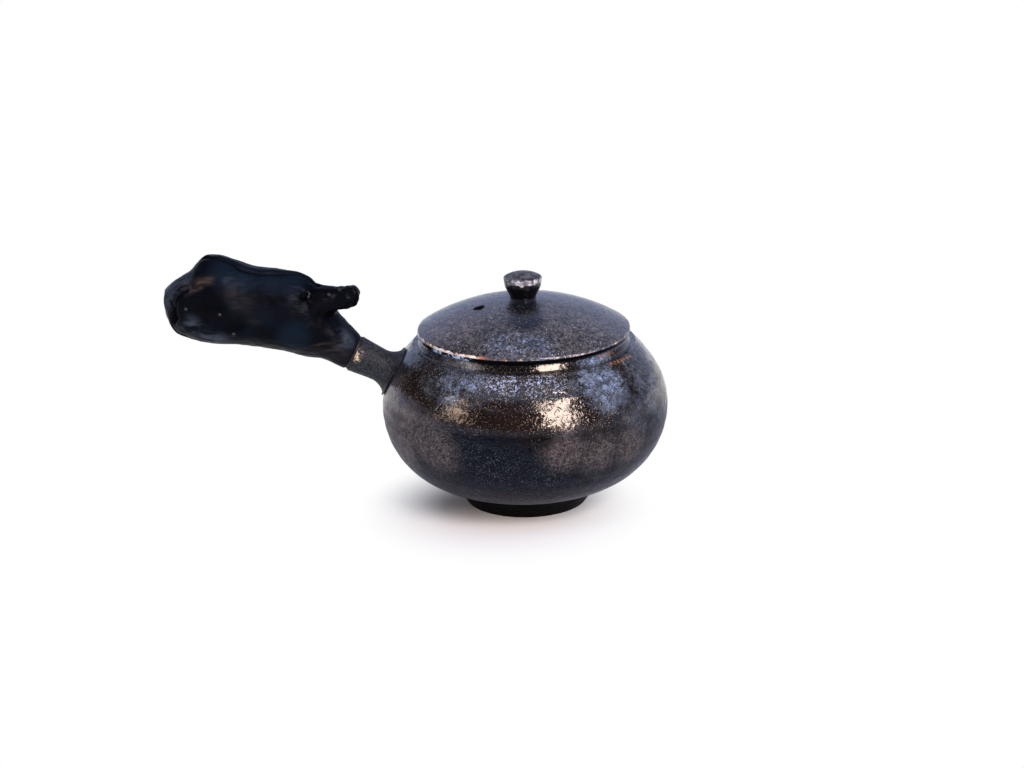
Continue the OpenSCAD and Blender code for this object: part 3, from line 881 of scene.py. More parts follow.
@dataclass
class Bowl:
    """The thrown bowl with its foot and neck, in millimetres."""

    foot_h: float = 7.0
    r: float = 50.0
    lower_r: float = 28.0
    shoulder_r: float = 25.0
    shoulder_angle: float = 30.0
    crown_r: float = 45.0
    wall: float = 3.5
    neck_r: float = 36.0
    neck_wall: float = 3.0
    neck_h: float = 3.0
    ledge_w: float = 3.0
    neck_flare: float = 1.3
    neck_round: float = 0.6
    neck_inner_round: float = 0.5
    neck_seam: float = 0.35
    foot_top_r: float = 26.0
    foot_low_r: float = 21.3
    foot_bore_r: float = 17.3
    groove_h: float = 0.7
    groove_d: float = 0.6
    sides: int = 224
    foot_sides: int = 160
    passage_r: float = 5.5
    passage_at: Point = (0.0, 48.0, 39.1)
    passage_tilt: float = 32.0
    passage_reach: float = 8.0

    def __post_init__(self) -> None:
        """Works out the centres of the outline's curves and the heights that follow from them."""
        a = math.radians(self.shoulder_angle)
        self.belly_z = self.foot_h + self.lower_r
        self.flat_r = self.r - self.lower_r
        self.shoulder_x = self.r - self.shoulder_r
        self.crown_x = self.shoulder_x - (self.crown_r - self.shoulder_r) * math.cos(a)
        self.crown_z = self.belly_z - (self.crown_r - self.shoulder_r) * math.sin(a)
        self.ledge_r = self.neck_r + self.ledge_w
        self.ledge_z = self.crown_z + math.sqrt(self.crown_r**2 - (self.ledge_r - self.crown_x) ** 2)
        self.seat_z = self.ledge_z + self.neck_h

    def radius_at(self, z: float) -> float:
        """Radius of the outside at a height.

        Args:
            z: The height.

        Returns:
            The radius on the lower curve, the shoulder or the crown.
        """
        if z < self.belly_z:
            return self.flat_r + math.sqrt(max(self.lower_r**2 - (z - self.belly_z) ** 2, 0))
        if z < self.belly_z + self.shoulder_r * math.sin(math.radians(self.shoulder_angle)):
            return self.shoulder_x + math.sqrt(self.shoulder_r**2 - (z - self.belly_z) ** 2)
        return self.crown_x + math.sqrt(max(self.crown_r**2 - (z - self.crown_z) ** 2, 0))

    def top_angle(self, inset: float) -> float:
        """Angle of the crown's curve, drawn in by an inset, at the height of the ledge."""
        return math.degrees(math.asin((self.ledge_z - self.crown_z) / (self.crown_r - inset)))

    def build_bowl(self, glaze: Material, inside: Material) -> None:
        """Turns the bowl, pierces its wall for the spout and dresses it.

        Args:
            glaze: Coat of the outside.
            inside: Coat of the inside.
        """
        inner_top = self.top_angle(self.wall)
        inner_r = self.crown_x + (self.crown_r - self.wall) * math.cos(math.radians(inner_top))
        wire = Profile(0, self.foot_h).line(self.flat_r, self.foot_h, 8)
        wire.arc(self.flat_r, self.belly_z, 90, 44)
        wire.arc(self.shoulder_x, self.belly_z, self.shoulder_angle, 16)
        wire.arc(self.crown_x, self.crown_z, self.top_angle(0) - self.shoulder_angle, 14)
        wire.line(inner_r, self.ledge_z, 3)
        wire.arc(self.crown_x, self.crown_z, self.shoulder_angle - inner_top, 12)
        wire.arc(self.shoulder_x, self.belly_z, -self.shoulder_angle, 12)
        wire.arc(self.flat_r, self.belly_z, -90, 24)
        wire.line(0, self.foot_h + self.wall, 8)
        bm = wire.lathe(self.sides)
        throw(bm, ring=0.12, pitch=4.6, wobble=0.3, seed=3.1)
        tilt = math.radians(self.passage_tilt)
        way = Vector((0, math.cos(tilt), math.sin(tilt)))
        pierce(bm, Vector(self.passage_at), way, self.passage_reach, lambda angle: self.passage_r)
        middle = Vector((0, 0, self.belly_z))

        def inner(face: BMFace) -> bool:
            """Tells whether a face looks into the bowl, below its level top."""
            at = face.calc_center_median()
            return at.z < self.ledge_z - 0.05 and face.normal.dot(at - middle) < 0

        line_inside(bm, inner)
        seat(finish_piece(bm, "bowl"), Body.POT, "pot_body", "body_glaze", glaze, inside)

    def build_foot(self, clay: Material) -> None:
        """Turns the foot ring, with a worn lower edge and a groove under the bowl.

        Args:
            clay: Its coat.
        """
        groove_z, groove_r = self.foot_h - self.groove_h, self.foot_top_r - self.groove_d
        flare = (self.foot_top_r - self.foot_low_r) * (groove_z / self.foot_h)
        wire = Profile(self.foot_bore_r, 0).line(self.foot_low_r, 0, 3).line(self.foot_low_r + flare, groove_z, 8)
        wire.line(groove_r, self.foot_h - 0.45).line(groove_r, self.foot_h)
        wire.line(self.foot_bore_r, self.foot_h, 3).line(self.foot_bore_r, STOP, 6).close()
        bm = wire.lathe(self.foot_sides)
        soften(bm, degrees=50, width=0.3, segments=3)
        throw(bm, ring=0.06, pitch=1.7, wobble=0.06, seed=8.2)
        seat(finish_piece(bm, "foot"), Body.POT, "foot_ring", "foot_clay", clay)

    def build_neck(self, glaze: Material, clay: Material) -> None:
        """Turns the neck: a leaning collar with a fine groove at its foot and a rounded lip.

        Args:
            glaze: Coat of the collar.
            clay: Coat of the lip, which is bare where the lid rests.
        """
        bore, z, lip_z = self.neck_r - self.neck_wall, self.ledge_z, self.seat_z - self.neck_round
        foot_r, soft = self.neck_r + self.neck_flare, self.neck_inner_round
        seam_r, lean = foot_r - self.neck_seam, self.neck_flare / (lip_z - z)
        wire = Profile(bore, z).line(foot_r - 0.05, z).line(seam_r, z + 0.2)
        wire.line(seam_r, z + 0.4).line(foot_r - 0.6 * lean, z + 0.6).line(self.neck_r, lip_z, 4)
        wire.arc(self.neck_r - self.neck_round, lip_z, 90, 6).line(bore + soft, self.seat_z, 2)
        wire.arc(bore + soft, self.seat_z - soft, 90, 4).line(bore, z + STOP, 3).close()
        bm = wire.lathe(self.sides)
        throw(bm, ring=0.0, pitch=3.0, wobble=0.06, seed=5.7)
        line_inside(bm, lambda face: face.normal.z > 0.9)
        seat(finish_piece(bm, "neck", sharp=50), Body.POT, "neck_ring", "neck_glaze", glaze, clay)


@dataclass
class Branch:
    """A hollow clay limb luted to the bowl: its place and slope."""

    bowl: Bowl
    root_z: float
    tilt: float
    bearing: float
    search: float = 12.0
    halvings: int = 30

    def __post_init__(self) -> None:
        """Works out the limb's frame: its root on the bowl and +Z along the limb."""
        turn = Matrix.Rotation(math.radians(self.bearing), 4, "Z") @ Matrix.Rotation(
            math.radians(90 - self.tilt), 4, "Y")
        r, b = self.bowl.radius_at(self.root_z), math.radians(self.bearing)
        self.frame = Matrix.Translation((r * math.cos(b), r * math.sin(b), self.root_z)) @ turn

    def surface(self, angle: float, radius: Callable[[float], float]) -> float:
        """Finds where a line along the limb's skin meets the bowl.

        Args:
            angle: Angle of the line round the limb's axis.
            radius: Radius of the skin at a distance along the limb.

        Returns:
            The distance along the limb.
        """
        low, high = -self.search, self.search
        for _ in range(self.halvings):
            t = (low + high) / 2
            r = radius(t)
            p = self.frame @ Vector((r * math.cos(angle), r * math.sin(angle), t))
            if math.hypot(p.x, p.y) < self.bowl.radius_at(p.z):
                low = t
            else:
                high = t
        return high


@dataclass
class Spout(Branch):
    """The spout: a hollow, flared tube with a slant-cut tip, in millimetres."""

    root_z: float = 40.0
    tilt: float = 32.0
    bearing: float = 90.0
    length: float = 22.0
    sink: float = 20.0
    tip_r: float = 6.75
    root_r: float = 13.5
    wall: float = 2.0
    slant: float = 20.0
    over: float = 4.0
    lute: float = 1.3
    lute_run: float = 1.6
    overlap: float = 1.2
    sides: int = 96
    cuts: int = 34

    def flare(self, t: float) -> float:
        """Radius of the outside, which swells towards the root.

        Args:
            t: Distance along the spout.

        Returns:
            The radius.
        """
        swell, run = self.root_r - self.tip_r, self.length + self.sink
        big = (swell**2 + run**2) / (2 * swell)
        return self.tip_r + big - math.sqrt(big**2 - (self.length - t) ** 2)

    def build(self, glaze: Material, inside: Material) -> None:
        """Turns the tube, fits its root to the bowl, cuts its tip and dresses it.

        Args:
            glaze: Coat of the outside.
            inside: Coat of the bore.
        """
        top = self.length + self.over
        # A tube of radius 1 inside and 2 outside is drawn out to the spout's own sizes
        bm = Profile(2, 0).line(2, 1, self.cuts).line(1, 1).line(1, 0.001, self.cuts).close().lathe(self.sides)
        for v in bm.verts:
            angle = math.atan2(v.co.y, v.co.x)
            outer = math.hypot(v.co.x, v.co.y) > 1.5
            meet = self.surface(angle, self.flare)
            low = meet - self.overlap
            t = low + (top - low) * v.co.z
            r = self.flare(t) + self.lute * math.exp(-max(t - meet, 0) / self.lute_run)
            uneven = 0.12 * noise.noise(Vector((3 * math.cos(angle), 3 * math.sin(angle), t / 4)))
            r += uneven if outer else -self.wall
            v.co = (r * math.cos(angle), r * math.sin(angle), t)
        slant = math.radians(self.slant)
        cut = bmesh.ops.bisect_plane(bm, geom=bm.verts[:] + bm.edges[:] + bm.faces[:],
                                     plane_co=(0, 0, self.length),
                                     plane_no=(-math.sin(slant), 0, math.cos(slant)), clear_outer=True)
        bmesh.ops.bridge_loops(bm, edges=[e for e in cut["geom_cut"] if isinstance(e, BMEdge)])
        bmesh.ops.recalc_face_normals(bm, faces=bm.faces)
        soften(bm, degrees=50, width=0.45, segments=3)

        def inner(face: BMFace) -> bool:
            """Tells whether a face looks towards the spout's axis."""
            at = face.calc_center_median()
            return face.normal.x * at.x + face.normal.y * at.y < -0.4 * at.xy.length

        line_inside(bm, inner)
        bmesh.ops.transform(bm, matrix=self.frame, verts=bm.verts)
        seat(finish_piece(bm, "spout_tube"), Body.POT, "spout", "spout_glaze", glaze, inside)


@dataclass
class Socket(Branch):
    """The waisted clay socket and the putty round the handle's tenon, in millimetres."""

    root_z: float = 47.8
    tilt: float = 28.0
    bearing: float = 180.0
    length: float = 14.0
    flange_r: float = 9.2
    waist_r: float = 5.75
    waist_t: float = 4.5
    flare_r: float = 6.2
    mouth_r: float = 6.45
    bore_r: float = 3.9
    bore_t: float = 3.0
    sunk: float = 2.2
    seam: float = 0.9
    lip_angle: float = 9.0
    bead_t: float = 0.8
    fill_t: float = 2.5
    sides: int = 96
    bead_sides: int = 64

    def build_socket(self, clay: Material) -> None:
        """Turns the socket and lays its flange on the bowl, with a dark seam under its edge.

        Args:
            clay: Its coat.
        """
        edge_x = self.waist_r + self.flare_r
        drop = math.sqrt(self.flare_r**2 - (edge_x - self.flange_r) ** 2)
        rim_t, root_r = self.waist_t - drop, self.flange_r - self.seam
        sweep = math.degrees(math.asin(drop / self.flare_r)) - self.lip_angle
        lip, end = math.radians(sweep), self.length
        wire = Profile(0, rim_t - self.sunk).line(root_r, rim_t - self.sunk, 3).line(root_r, rim_t + 0.1)
        wire.line(self.flange_r - 0.1, rim_t + 0.15).line(self.flange_r, rim_t + 0.45)
        wire.line(edge_x - self.flare_r * math.cos(lip), self.waist_t - self.flare_r * math.sin(lip))
        wire.arc(edge_x, self.waist_t, -sweep, 14).line(self.mouth_r - 0.12, end - 0.9, 10)
        wire.line(self.mouth_r, end - 0.45).line(self.mouth_r - 0.25, end).line(self.bore_r, end, 2)
        wire.line(self.bore_r, end - self.bore_t, 2).line(0, end - self.bore_t, 1)
        bm = wire.lathe(self.sides)
        for v in bm.verts:
            meet = self.surface(math.atan2(v.co.y, v.co.x), lambda t: self.flange_r)
            near_root = min(max((4.0 - v.co.z) / 4.6, 0), 1)
            near_rim = min(v.co.xy.length / self.flange_r, 1)
            v.co.z += (meet - rim_t) * (near_root * near_rim) ** 2
            widen(v, 1 + 0.018 * noise.noise(Vector((v.co.x / 3, v.co.y / 3, v.co.z / 5))))
        bmesh.ops.transform(bm, matrix=self.frame, verts=bm.verts)
        seat(finish_piece(bm, "socket"), Body.POT, "handle_socket", "socket_clay", clay)

    def build_bead(self, putty: Material) -> None:
        """Turns the bead of putty between the socket and the wood, with the fill round the tenon.

        Args:
            putty: Its coat.
        """
        end, r, fill_r = self.length, self.mouth_r - 0.35, self.bore_r - 0.05
        low, high = end - self.fill_t, end + self.bead_t + 0.2
        wire = Profile(0, low).line(fill_r, low, 1).line(fill_r, end - 0.1, 2)
        wire.line(r - 0.3, end - 0.1, 1).line(r, end + 0.25).line(r - 0.05, end + 0.6)
        wire.line(r - 0.4, high).line(0, high, 2)
        bm = wire.lathe(self.bead_sides)
        for v in bm.verts:
            widen(v, 1 + 0.03 * noise.noise(v.co / 1.8))
        bmesh.ops.transform(bm, matrix=self.frame, verts=bm.verts)
        seat(finish_piece(bm, "putty_bead"), Body.POT, "handle_bedding", "lacquer_putty", putty)


@dataclass(frozen=True)
class Mark:
    """One carved or grown feature of the burl, along a route in millimetres."""

    route: Points
    reach: float
    depth: float = 0.0
    bare: float = 0.0
    recess: float = 0.0


CREST = ((-110, -1, 89.8), (-105.5, -3.6, 90.4), (-101.8, -3.6, 89.6), (-99.1, -4.0, 88.4), (-96.5, -5.1, 86.6),
         (-92.6, -4.7, 85.3), (-89.0, -4.4, 84.5), (-83.4, -3.2, 84.2), (-76.4, -1.1, 83.2), (-72.8, -0.9, 81.0),
         (-70.0, -3.9, 80.2))
END_CRACK = ((-114.6, -8.5, 80.7), (-116.6, -7.8, 79.6), (-117.8, -7.6, 78.4), (-118.8, -7.5, 77.1),
             (-119.1, -7.6, 75.5), (-119.3, -7.4, 72.9), (-118.7, -7.3, 70.6), (-120.0, -5.7, 68.7))
LOW_RIM = ((-121.4, -4.1, 68.6), (-120.7, -3.2, 65.4), (-119.0, -4.1, 64.0), (-116.5, -4.9, 63.2))
BACK_CRACK = ((-112, 8, 83), (-104, 11, 79), (-97, 11.5, 77), (-88, 10, 74), (-80, 9.5, 71))

BURL_MARKS = (
    Mark(CREST, 0.5, -0.9, recess=1.0),
    Mark(tuple((x, y + 2.0, z + 0.5) for x, y, z in CREST), 1.4, 0.3),
    Mark(END_CRACK, 0.7, -1.3, recess=1.0),
    Mark(((-121.2, -6.0, 75.6), (-120.6, -6.6, 73.6), (-120.2, -6.5, 71.4), (-120.7, -5.3, 69.3)), 1.3, -2.0,
         recess=0.9),
    Mark(LOW_RIM, 0.6, -0.7, recess=0.7),
    Mark(BACK_CRACK, 0.8, -0.9, recess=0.8),
    Mark(((-114.8, -7.7, 81.6), (-112.5, -8.8, 82.8), (-110.3, -9.7, 83.5), (-108.2, -10.0, 84.1),
          (-106.1, -9.9, 84.5)), 1.3, -0.4, bare=0.9),
    Mark(((-113.2, -9.4, 80.8), (-111.0, -10.3, 81.3), (-109.3, -10.5, 82.1)), 0.8, -0.2, bare=0.8),
    Mark(((-111.5, -11.0, 73.7), (-106.7, -11.9, 72.4), (-102.0, -11.9, 70.5), (-98.1, -11.4, 68.5)), 3.2, -1.0),
    Mark(((-100.2, -10.7, 80.0), (-96.3, -10.3, 78.5), (-92.3, -10.4, 76.2)), 1.8, 0.0, bare=0.4),
    Mark(((-97.7, -11.2, 75.9), (-94.4, -11.2, 73.3), (-91.2, -11.3, 70.5)), 2.0, 0.0, bare=0.35),
    Mark(((-115.0, -9.7, 74.4),), 0.9, 0.6),
    Mark(((-103.3, -12.0, 72.8),), 1.0, 0.7),
    Mark(((-108.7, -11.6, 73.3),), 0.8, 0.4),
    Mark(((-99.2, -10.5, 65.4),), 1.2, 0.5),
    Mark(((-74.4, -6.6, 77.8), (-75.0, -7.2, 77.2)), 1.0, -1.1, recess=0.8),
    Mark(((-73.7, -6.2, 78.9), (-73.2, -6.6, 78.2), (-73.4, -7.0, 77.2)), 0.45, 0.45),
    Mark(((-76.8, -8.4, 76.2), (-76.4, -6.4, 79.6)), 1.6, -0.3),
    Mark(((-70.3, -8.5, 69.8), (-68.0, -8.1, 67.2), (-66.4, -5.6, 68.9), (-69.1, -9.3, 64.0)), 2.6, -0.6,
         recess=0.25),
    Mark(((-66.3, -7.5, 77.8),), 0.9, 0.6),
    Mark(((-62.6, -6.1, 78.9),), 0.9, 0.5),
    Mark(((-66.0, -8.1, 59.9), (-63.4, -7.2, 57.8), (-61.8, -6.6, 55.4)), 1.9, 0.0, bare=0.6),
    Mark(((-67.5, -7.6, 58.0), (-65.0, -5.9, 54.5)), 1.5, 0.0, bare=0.45),
    Mark(((-72.5, -8.7, 59.9), (-69.3, -8.8, 60.6), (-66.6, -8.4, 61.1)), 0.6, -0.15, bare=0.75),
    Mark(((-58.1, -5.9, 79.3),), 1.1, 0.7),
    Mark(((-56.3, -4.4, 76.0),), 1.0, -0.7, recess=0.5),
    Mark(((-59.5, -2.0, 79.6), (-61.5, -1.0, 79.8)), 0.7, -0.5, recess=0.4),
    Mark(((-90, 9.5, 66), (-84, 9, 64)), 2.6, -0.7),
    Mark(((-100, 12, 74),), 1.4, 0.7),
    Mark(((-78, 8.5, 76),), 1.6, -1.0, recess=0.6),
)


@dataclass
class Burl:
    """The wood handle, carved from a finer copy of its CAD solid, in millimetres.

    Each swell has a depth, a width and a place in the noise.
    """

    node: str = "wood_handle"
    voxel: float = 0.55
    smoothing: int = 6
    fork: Point = (-67.5, -3.0, 76.5)
    fork_r: float = 8.0
    fork_smoothing: int = 60
    marks: tuple[Mark, ...] = BURL_MARKS
    swells: Points = ((0.3, 6.5, 0.0), (0.14, 2.4, 4.0))
    grain: float = 0.05
    grain_l: float = 9.0
    grain_w: float = 0.9
    twig_x: float = -66.0
    twig_z: float = 70.0
    twig_lump: float = 0.5
    twig_w: float = 2.0
    twig_fade: float = 4.0
    join: Point = (-59.5, 0.0, 54.8)
    join_fade: float = 4.0
    join_keep: float = 1.2
    carving: Span = (-3.0, 1.2)

    def rough_out(self) -> Mesh:
        """Remeshes a merged copy of the CAD solid finely enough to carve.

        Returns:
            The mesh, in metres.
        """
        bm = bmesh.new()
        bm.from_mesh(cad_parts[self.node].data)
        bmesh.ops.remove_doubles(bm, verts=bm.verts, dist=1e-6)
        mesh = bpy.data.meshes.new("burl_blank")
        bm.to_mesh(mesh)
        bm.free()
        blank = bpy.data.objects.new("burl_blank", mesh)
        bpy.context.scene.collection.objects.link(blank)
        remesh = blank.modifiers.new("voxels", "REMESH")
        remesh.mode = "VOXEL"
        remesh.voxel_size = self.voxel * MM
        graph = bpy.context.evaluated_depsgraph_get()
        fine = bpy.data.meshes.new_from_object(blank.evaluated_get(graph))
        bpy.data.objects.remove(blank)
        bm = bmesh.new()
        bm.from_mesh(fine)

        def relax(verts: list[BMVert], rounds: int) -> None:
            """Smooths some of the points a number of times."""
            for _ in range(rounds):
                bmesh.ops.smooth_vert(bm, verts=verts, factor=0.5, use_axis_x=True, use_axis_y=True, use_axis_z=True)

        relax(bm.verts[:], self.smoothing)
        fork = Vector(self.fork)
        relax([v for v in bm.verts if (v.co / MM - fork).length < self.fork_r], self.fork_smoothing)
        bmesh.ops.recalc_face_normals(bm, faces=bm.faces)
        bm.to_mesh(fine)
        bm.free()
        return fine

    @staticmethod
    def distance(at: np.ndarray, route: Points) -> np.ndarray:
        """Distance of points from a route.

        Args:
            at: Points, one to a row.
            route: The route's corners.

        Returns:
            One distance for each point.
        """
        corners = np.array(route, float)
        best = np.linalg.norm(at - corners[0], axis=1)
        for a, b in zip(corners[:-1], corners[1:]):
            way = b - a
            share = np.clip((at - a) @ way / (way @ way), 0, 1)
            best = np.minimum(best, np.linalg.norm(at - a - share[:, None] * way, axis=1))
        return best

    def carve(self, mesh: Mesh) -> None:
        """Moves the mesh's points along their normals for every mark, and keeps how bare and hollow each is.

        Args:
            mesh: The fine mesh, in metres.
        """
        count = len(mesh.vertices)
        at, out = np.zeros(count * 3), np.zeros(count * 3)
        mesh.vertices.foreach_get("co", at)
        mesh.vertex_normals.foreach_get("vector", out)
        at, out = at.reshape(-1, 3) / MM, out.reshape(-1, 3)
        fade = np.clip(np.linalg.norm(at - np.array(self.join), axis=1) / self.join_fade - self.join_keep, 0, 1)
        push, bare, recess = np.zeros(count), np.zeros(count), np.zeros(count)
        for k, (x, y, z) in enumerate(at):
            v = Vector((x, y, z))
            for depth, width, shift in self.swells:
                push[k] += depth * noise.noise(v / width + Vector((shift, 0, 0)))
            push[k] += self.grain * noise.noise(Vector((x / self.grain_l, y / self.grain_w, z / self.grain_w)))
            if z > self.twig_z:
                on_twig = min(max((x - self.twig_x) / self.twig_fade, 0), 1)
                push[k] += self.twig_lump * noise.noise(v / self.twig_w) * on_twig
        push *= fade
        for mark in self.marks:
            weight = np.exp(-((self.distance(at, mark.route) / mark.reach) ** 2))
            push += mark.depth * weight
            bare = np.maximum(bare, mark.bare * weight)
            recess = np.maximum(recess, mark.recess * weight)
        at += out * np.clip(push, *self.carving)[:, None]
        low, high = (np.array(corner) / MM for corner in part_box(self.node))
        at = np.clip(at, low, high) * MM
        mesh.vertices.foreach_set("co", at.ravel())
        for name, values in (("bare", bare), ("recess", recess)):
            mesh.attributes.new(name, "FLOAT", "POINT").data.foreach_set("value", values.astype(np.float32))
        mesh.update()

    def build(self, wood: Material) -> None:
        """Carves the burl and dresses it.

        Args:
            wood: Its coat.
        """
        mesh = self.rough_out()
        self.carve(mesh)
        mesh.name = "burl"
        mesh.shade_smooth()
        obj = bpy.data.objects.new("burl", mesh)
        bpy.context.scene.collection.objects.link(obj)
        seat(obj, Body.POT, self.node, "burl_wood", wood)


@dataclass
class Lid:
    """The loose lid with its flange and knob, in millimetres."""

    seat_z: float
    r: float = 37.0
    rim_t: float = 2.4
    rise: float = 10.5
    wall: float = 3.0
    flange_r: float = 32.5
    flange_bore_r: float = 29.5
    flange_depth: float = 6.0
    steam_r: float = 2.2
    steam_at: float = 16.0
    steam_bearing: float = 199.0
    steam_reach: float = 7.0
    rim_w: float = 4.0
    chip: float = 0.14
    sag: float = 0.1
    inside_r: float = 36.4
    knob_base_r: float = 4.6
    knob_stem_r: float = 6.3
    knob_stem_h: float = 4.4
    knob_edge_h: float = 3.4
    knob_round: float = 0.7
    knob_round_angle: float = 50.0
    knob_r: float = 6.65
    knob_rise: float = 1.7
    sides: int = 224
    flange_sides: int = 160
    knob_sides: int = 96

    def __post_init__(self) -> None:
        """Works out the dome's ball and the height of the knob's foot."""
        self.ball = (self.r**2 + self.rise**2) / (2 * self.rise)
        self.ball_z = self.seat_z + self.rim_t + self.rise - self.ball
        self.knob_z = self.ball_z + math.sqrt(self.ball**2 - self.knob_base_r**2)

    def build_plate(self, glaze: Material, inside: Material) -> None:
        """Turns the domed plate, pierces its steam hole and dresses it.

        Args:
            glaze: Coat of the top.
            inside: Coat of the underside.
        """
        z, inner = self.seat_z, self.ball - self.wall
        from_top = math.degrees(math.asin(self.knob_base_r / self.ball))
        edge_r = self.r - 0.55
        edge_z = self.ball_z + math.sqrt(self.ball**2 - edge_r**2)
        to_edge = math.degrees(math.asin(edge_r / self.ball))
        under = math.degrees(math.asin(self.flange_bore_r / inner))
        wire = Profile(0, self.knob_z).line(self.knob_base_r, self.knob_z, 3)
        wire.arc(0, self.ball_z, from_top - to_edge, 46)
        wire.line(self.r - 0.16, edge_z - 0.32).line(self.r, edge_z - 0.75).line(self.r, z + 0.6, 2)
        wire.line(self.r - 0.5, z).line(self.flange_bore_r, z, 5)
        wire.line(self.flange_bore_r, self.ball_z + math.sqrt(inner**2 - self.flange_bore_r**2), 2)
        wire.arc(0, self.ball_z, under - 1, 26).line(0, self.ball_z + inner)
        bm = wire.lathe(self.sides)
        for v in bm.verts:
            r = v.co.xy.length
            rim = min(max((r - self.r) / self.rim_w + 1, 0), 1)
            turn = Vector((v.co.x, v.co.y, 0)) / 16
            chip = self.chip * rim * (noise.noise(turn * 2.2) + 0.6 * noise.noise(turn * 7) - 1.2)
            widen(v, 1 + chip / max(r, 1))
            if v.co.z > z + 0.3:
                v.co.z += 0.12 * noise.noise(turn) * rim + 0.08 * noise.noise(v.co / 9) - self.sag
        bearing = math.radians(self.steam_bearing)
        centre = Vector((self.steam_at * math.cos(bearing), self.steam_at * math.sin(bearing), z + 9))

        def ragged(angle: float) -> float:
            """Radius of the hole, which was poked by hand."""
            return self.steam_r * (0.86 + 0.1 * math.sin(3 * angle + 1) + 0.06 * math.sin(5 * angle))

        pierce(bm, centre, Vector((0, 0, 1)), self.steam_reach, ragged)
        line_inside(bm, lambda face: face.normal.z < -0.3 and face.calc_center_median().xy.length < self.inside_r)
        seat(finish_piece(bm, "lid_dome"), Body.LID, "lid_plate", "lid_glaze", glaze, inside)

    def build_flange(self, clay: Material) -> None:
        """Turns the flange that keeps the lid in the neck.

        Args:
            clay: Its coat.
        """
        low = self.seat_z - self.flange_depth
        wire = Profile(self.flange_bore_r, low).line(self.flange_r - 0.6, low, 2)
        wire.line(self.flange_r, low + 0.6).line(self.flange_r, self.seat_z, 5)
        wire.line(self.flange_bore_r, self.seat_z, 2).line(self.flange_bore_r, low + STOP, 5).close()
        bm = wire.lathe(self.flange_sides)
        soften(bm, degrees=60, width=0.4, segments=3)
        throw(bm, ring=0.06, pitch=2.1, wobble=0.1, seed=1.4)
        seat(finish_piece(bm, "lid_skirt"), Body.LID, "lid_flange", "flange_clay", clay)

    def build_knob(self, glaze: Material) -> None:
        """Turns the knob: a flared stem, an upright edge over a fine groove, and a low cap.

        Args:
            glaze: Its coat.
        """
        z, soft, turn = self.knob_z, self.knob_round, self.knob_round_angle
        stem_z, round_r = z + self.knob_stem_h, self.knob_r - soft
        round_z = stem_z + self.knob_edge_h - soft
        wire = Profile(0, z).line(self.knob_base_r, z, 2).line(self.knob_base_r - 0.15, z + 0.5)
        wire.line(self.knob_base_r + 0.25, z + 1.4, 1).line(self.knob_stem_r - 0.12, stem_z - 0.25, 6)
        wire.line(self.knob_stem_r, stem_z + 0.05).line(self.knob_r, round_z, 5).arc(round_r, round_z, turn, 6)
        cap_r = round_r + soft * math.cos(math.radians(turn))
        cap_z = round_z + soft * math.sin(math.radians(turn))
        ball = (cap_r**2 + self.knob_rise**2) / (2 * self.knob_rise)
        wire.arc(0, cap_z + self.knob_rise - ball, math.degrees(math.asin(cap_r / ball)), 12)
        bm = wire.lathe(self.knob_sides)
        throw(bm, ring=0.03, pitch=1.3, wobble=0.1, seed=2.6)
        seat(finish_piece(bm, "knob", sharp=50), Body.LID, "lid_knob", "knob_glaze", glaze)


@dataclass(frozen=True)
class Lamp:
    """A soft lamp: where it hangs and its sizes, in metres, its radiance and its colour."""

    name: str
    place: Point
    width: float
    height: float
    radiance: float
    colour: str


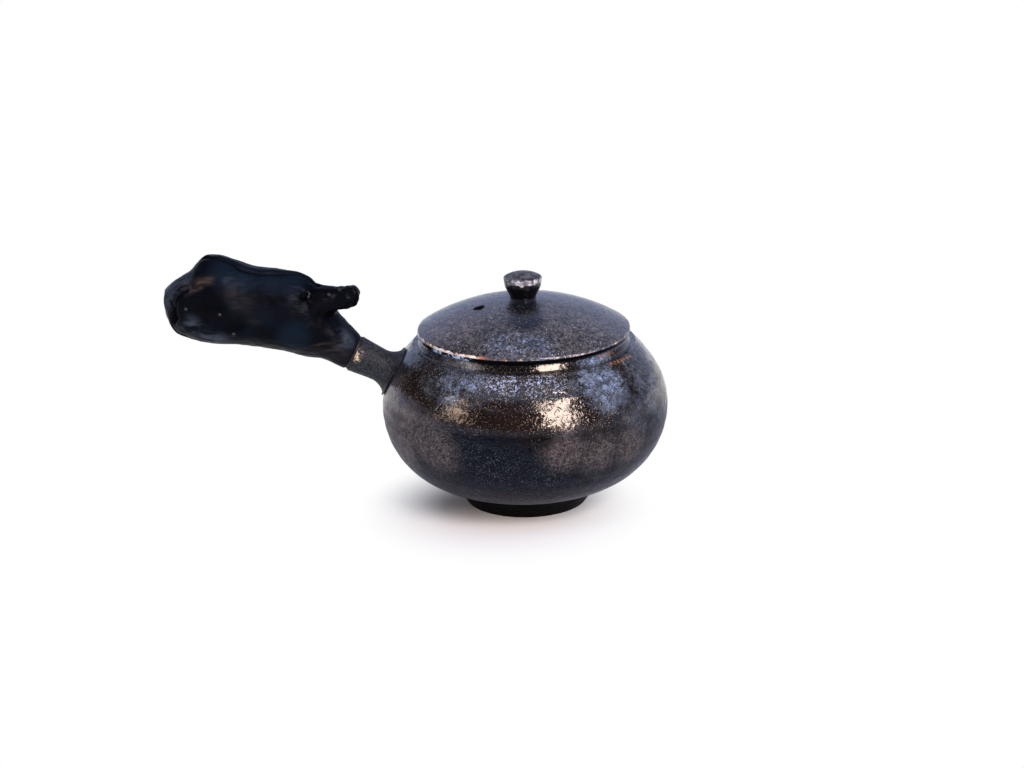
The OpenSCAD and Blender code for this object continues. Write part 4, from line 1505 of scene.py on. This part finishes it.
@dataclass
class Studio:
    """Floor, world, lamps and the camera at the photograph's place."""

    eye: Point = (-4.4447, -758.87, 294.94)
    pitch: float = 18.453
    roll: float = -1.2404
    lens: float = 80.504
    sensor: float = 36.0
    target: Point = (0.0, 0.0, 0.04)
    shade_at: Point = (-7.5, -12.0, 0.0)
    near_floor: float = 19.0
    far_floor: float = 54.0
    floor_reach: float = 6000.0
    paper: str = "#d4dce8"
    air: str = "#c9d7ff"
    horizon_z: Span = (0.03, 0.3)
    horizon_level: Span = (0.9, 0.08)
    wall_y: Span = (0.3, 0.8)
    wall_level: Span = (0.0, 0.9)
    lamps: tuple[Lamp, ...] = (
        Lamp("window_right", (0.33, -0.60, 0.44), 0.28, 0.38, 32.0, "#ffe8d4"),
        Lamp("window_left", (-0.595, -0.33, 0.36), 0.18, 0.24, 9.5, "#ffdfc0"),
        Lamp("sky", (-0.03, -0.43, 0.80), 1.30, 0.40, 1.6, "#d6e0ff"),
        Lamp("sky_right", (0.70, -0.10, 0.45), 0.45, 0.45, 2.2, "#c3d3ff"),
    )

    def camera(self) -> None:
        """Stands the camera at the photograph's viewing angle."""
        data = bpy.data.cameras.new("camera")
        data.sensor_fit, data.sensor_width, data.lens = "HORIZONTAL", self.sensor, self.lens
        data.clip_start, data.clip_end = 0.01, 50.0
        tilt, roll = math.radians(self.pitch), math.radians(self.roll)
        right, up = Vector((1, 0, 0)), Vector((0, math.sin(tilt), math.cos(tilt)))
        back = right.cross(up)
        side = math.cos(roll) * right + math.sin(roll) * up
        top = -math.sin(roll) * right + math.cos(roll) * up
        obj = bpy.data.objects.new("camera", data)
        bpy.context.scene.collection.objects.link(obj)
        turn = Matrix((side, top, back)).transposed().to_4x4()
        obj.matrix_world = Matrix.Translation(Vector(self.eye) * MM) @ turn
        bpy.context.scene.camera = obj

    def light(self) -> None:
        """Hangs the soft lamps, which face the pot."""
        for lamp in self.lamps:
            data = bpy.data.lights.new(lamp.name, "AREA")
            data.shape, data.size, data.size_y = "RECTANGLE", lamp.width, lamp.height
            data.energy = math.pi * lamp.radiance * lamp.width * lamp.height
            data.color = linear(lamp.colour)[:3]
            obj = bpy.data.objects.new(lamp.name, data)
            bpy.context.scene.collection.objects.link(obj)
            obj.location = lamp.place
            obj.rotation_euler = (Vector(self.target) - Vector(lamp.place)).to_track_quat("-Z", "Y").to_euler()

    def world(self) -> None:
        """A white horizon under a dim ceiling, with a paler wall behind the pot."""
        world = bpy.data.worlds.new("studio")
        bpy.context.scene.world = world
        world.use_nodes = True
        tree = world.node_tree
        tree.nodes.clear()
        way = add_node(tree, "TexCoord").outputs["Generated"]
        axes = add_node(tree, "SeparateXYZ", way).outputs
        horizon = add_node(tree, "MapRange", axes["Z"], *self.horizon_z, *self.horizon_level, **SOFT)
        behind = add_node(tree, "MapRange", axes["Y"], *self.wall_y, *self.wall_level, **SOFT)
        level = add_node(tree, "Math", horizon, behind, **MOST)
        add_node(tree, "OutputWorld", add_node(tree, "Background", self.air, level))

    def floor(self) -> None:
        """Lays a white sweep that keeps the pot's shadow and fades to plain white away from it."""
        bm = bmesh.new()
        bmesh.ops.create_grid(bm, x_segments=2, y_segments=2, size=self.floor_reach)
        obj = finish_piece(bm, "floor")
        coat = Coat("white_sweep")
        near = coat.spots((self.shade_at,), self.near_floor, self.far_floor)
        paper = coat.add("BsdfDiffuse", self.paper)
        white = coat.add("Emission", "#ffffff", 1.0)
        coat.add("OutputMaterial", coat.add("MixShader", near, white, paper))
        obj.data.materials.append(coat.material)

    def build(self) -> None:
        """Sets up the whole stage."""
        self.camera()
        self.light()
        self.world()
        self.floor()
        bpy.context.scene.view_settings.view_transform = "Standard"


def main() -> None:
    """Builds the stage and every piece in order."""
    logging.basicConfig(level=logging.INFO, format="%(message)s")
    Studio().build()
    glaze, dry = IronGlaze().build(), DRY_CLAY.build()
    bowl = Bowl()
    bowl.build_bowl(glaze, dry)
    bowl.build_foot(FOOT_CLAY.build())
    bowl.build_neck(NECK_GLAZE.build(), dry)
    Spout(bowl).build(glaze, dry)
    seat(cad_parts["strainer"], Body.POT, "strainer", "strainer_clay", dry)
    socket = Socket(bowl)
    socket.build_socket(SOCKET_SLIP.build())
    socket.build_bead(LacquerPutty().build())
    Burl().build(EbonisedBurl().build())
    lid = Lid(bowl.seat_z)
    lid.build_plate(LidGlaze().build(), dry)
    lid.build_flange(dry)
    lid.build_knob(KnobGlaze().build())


if __name__ == "__main__":
    main()
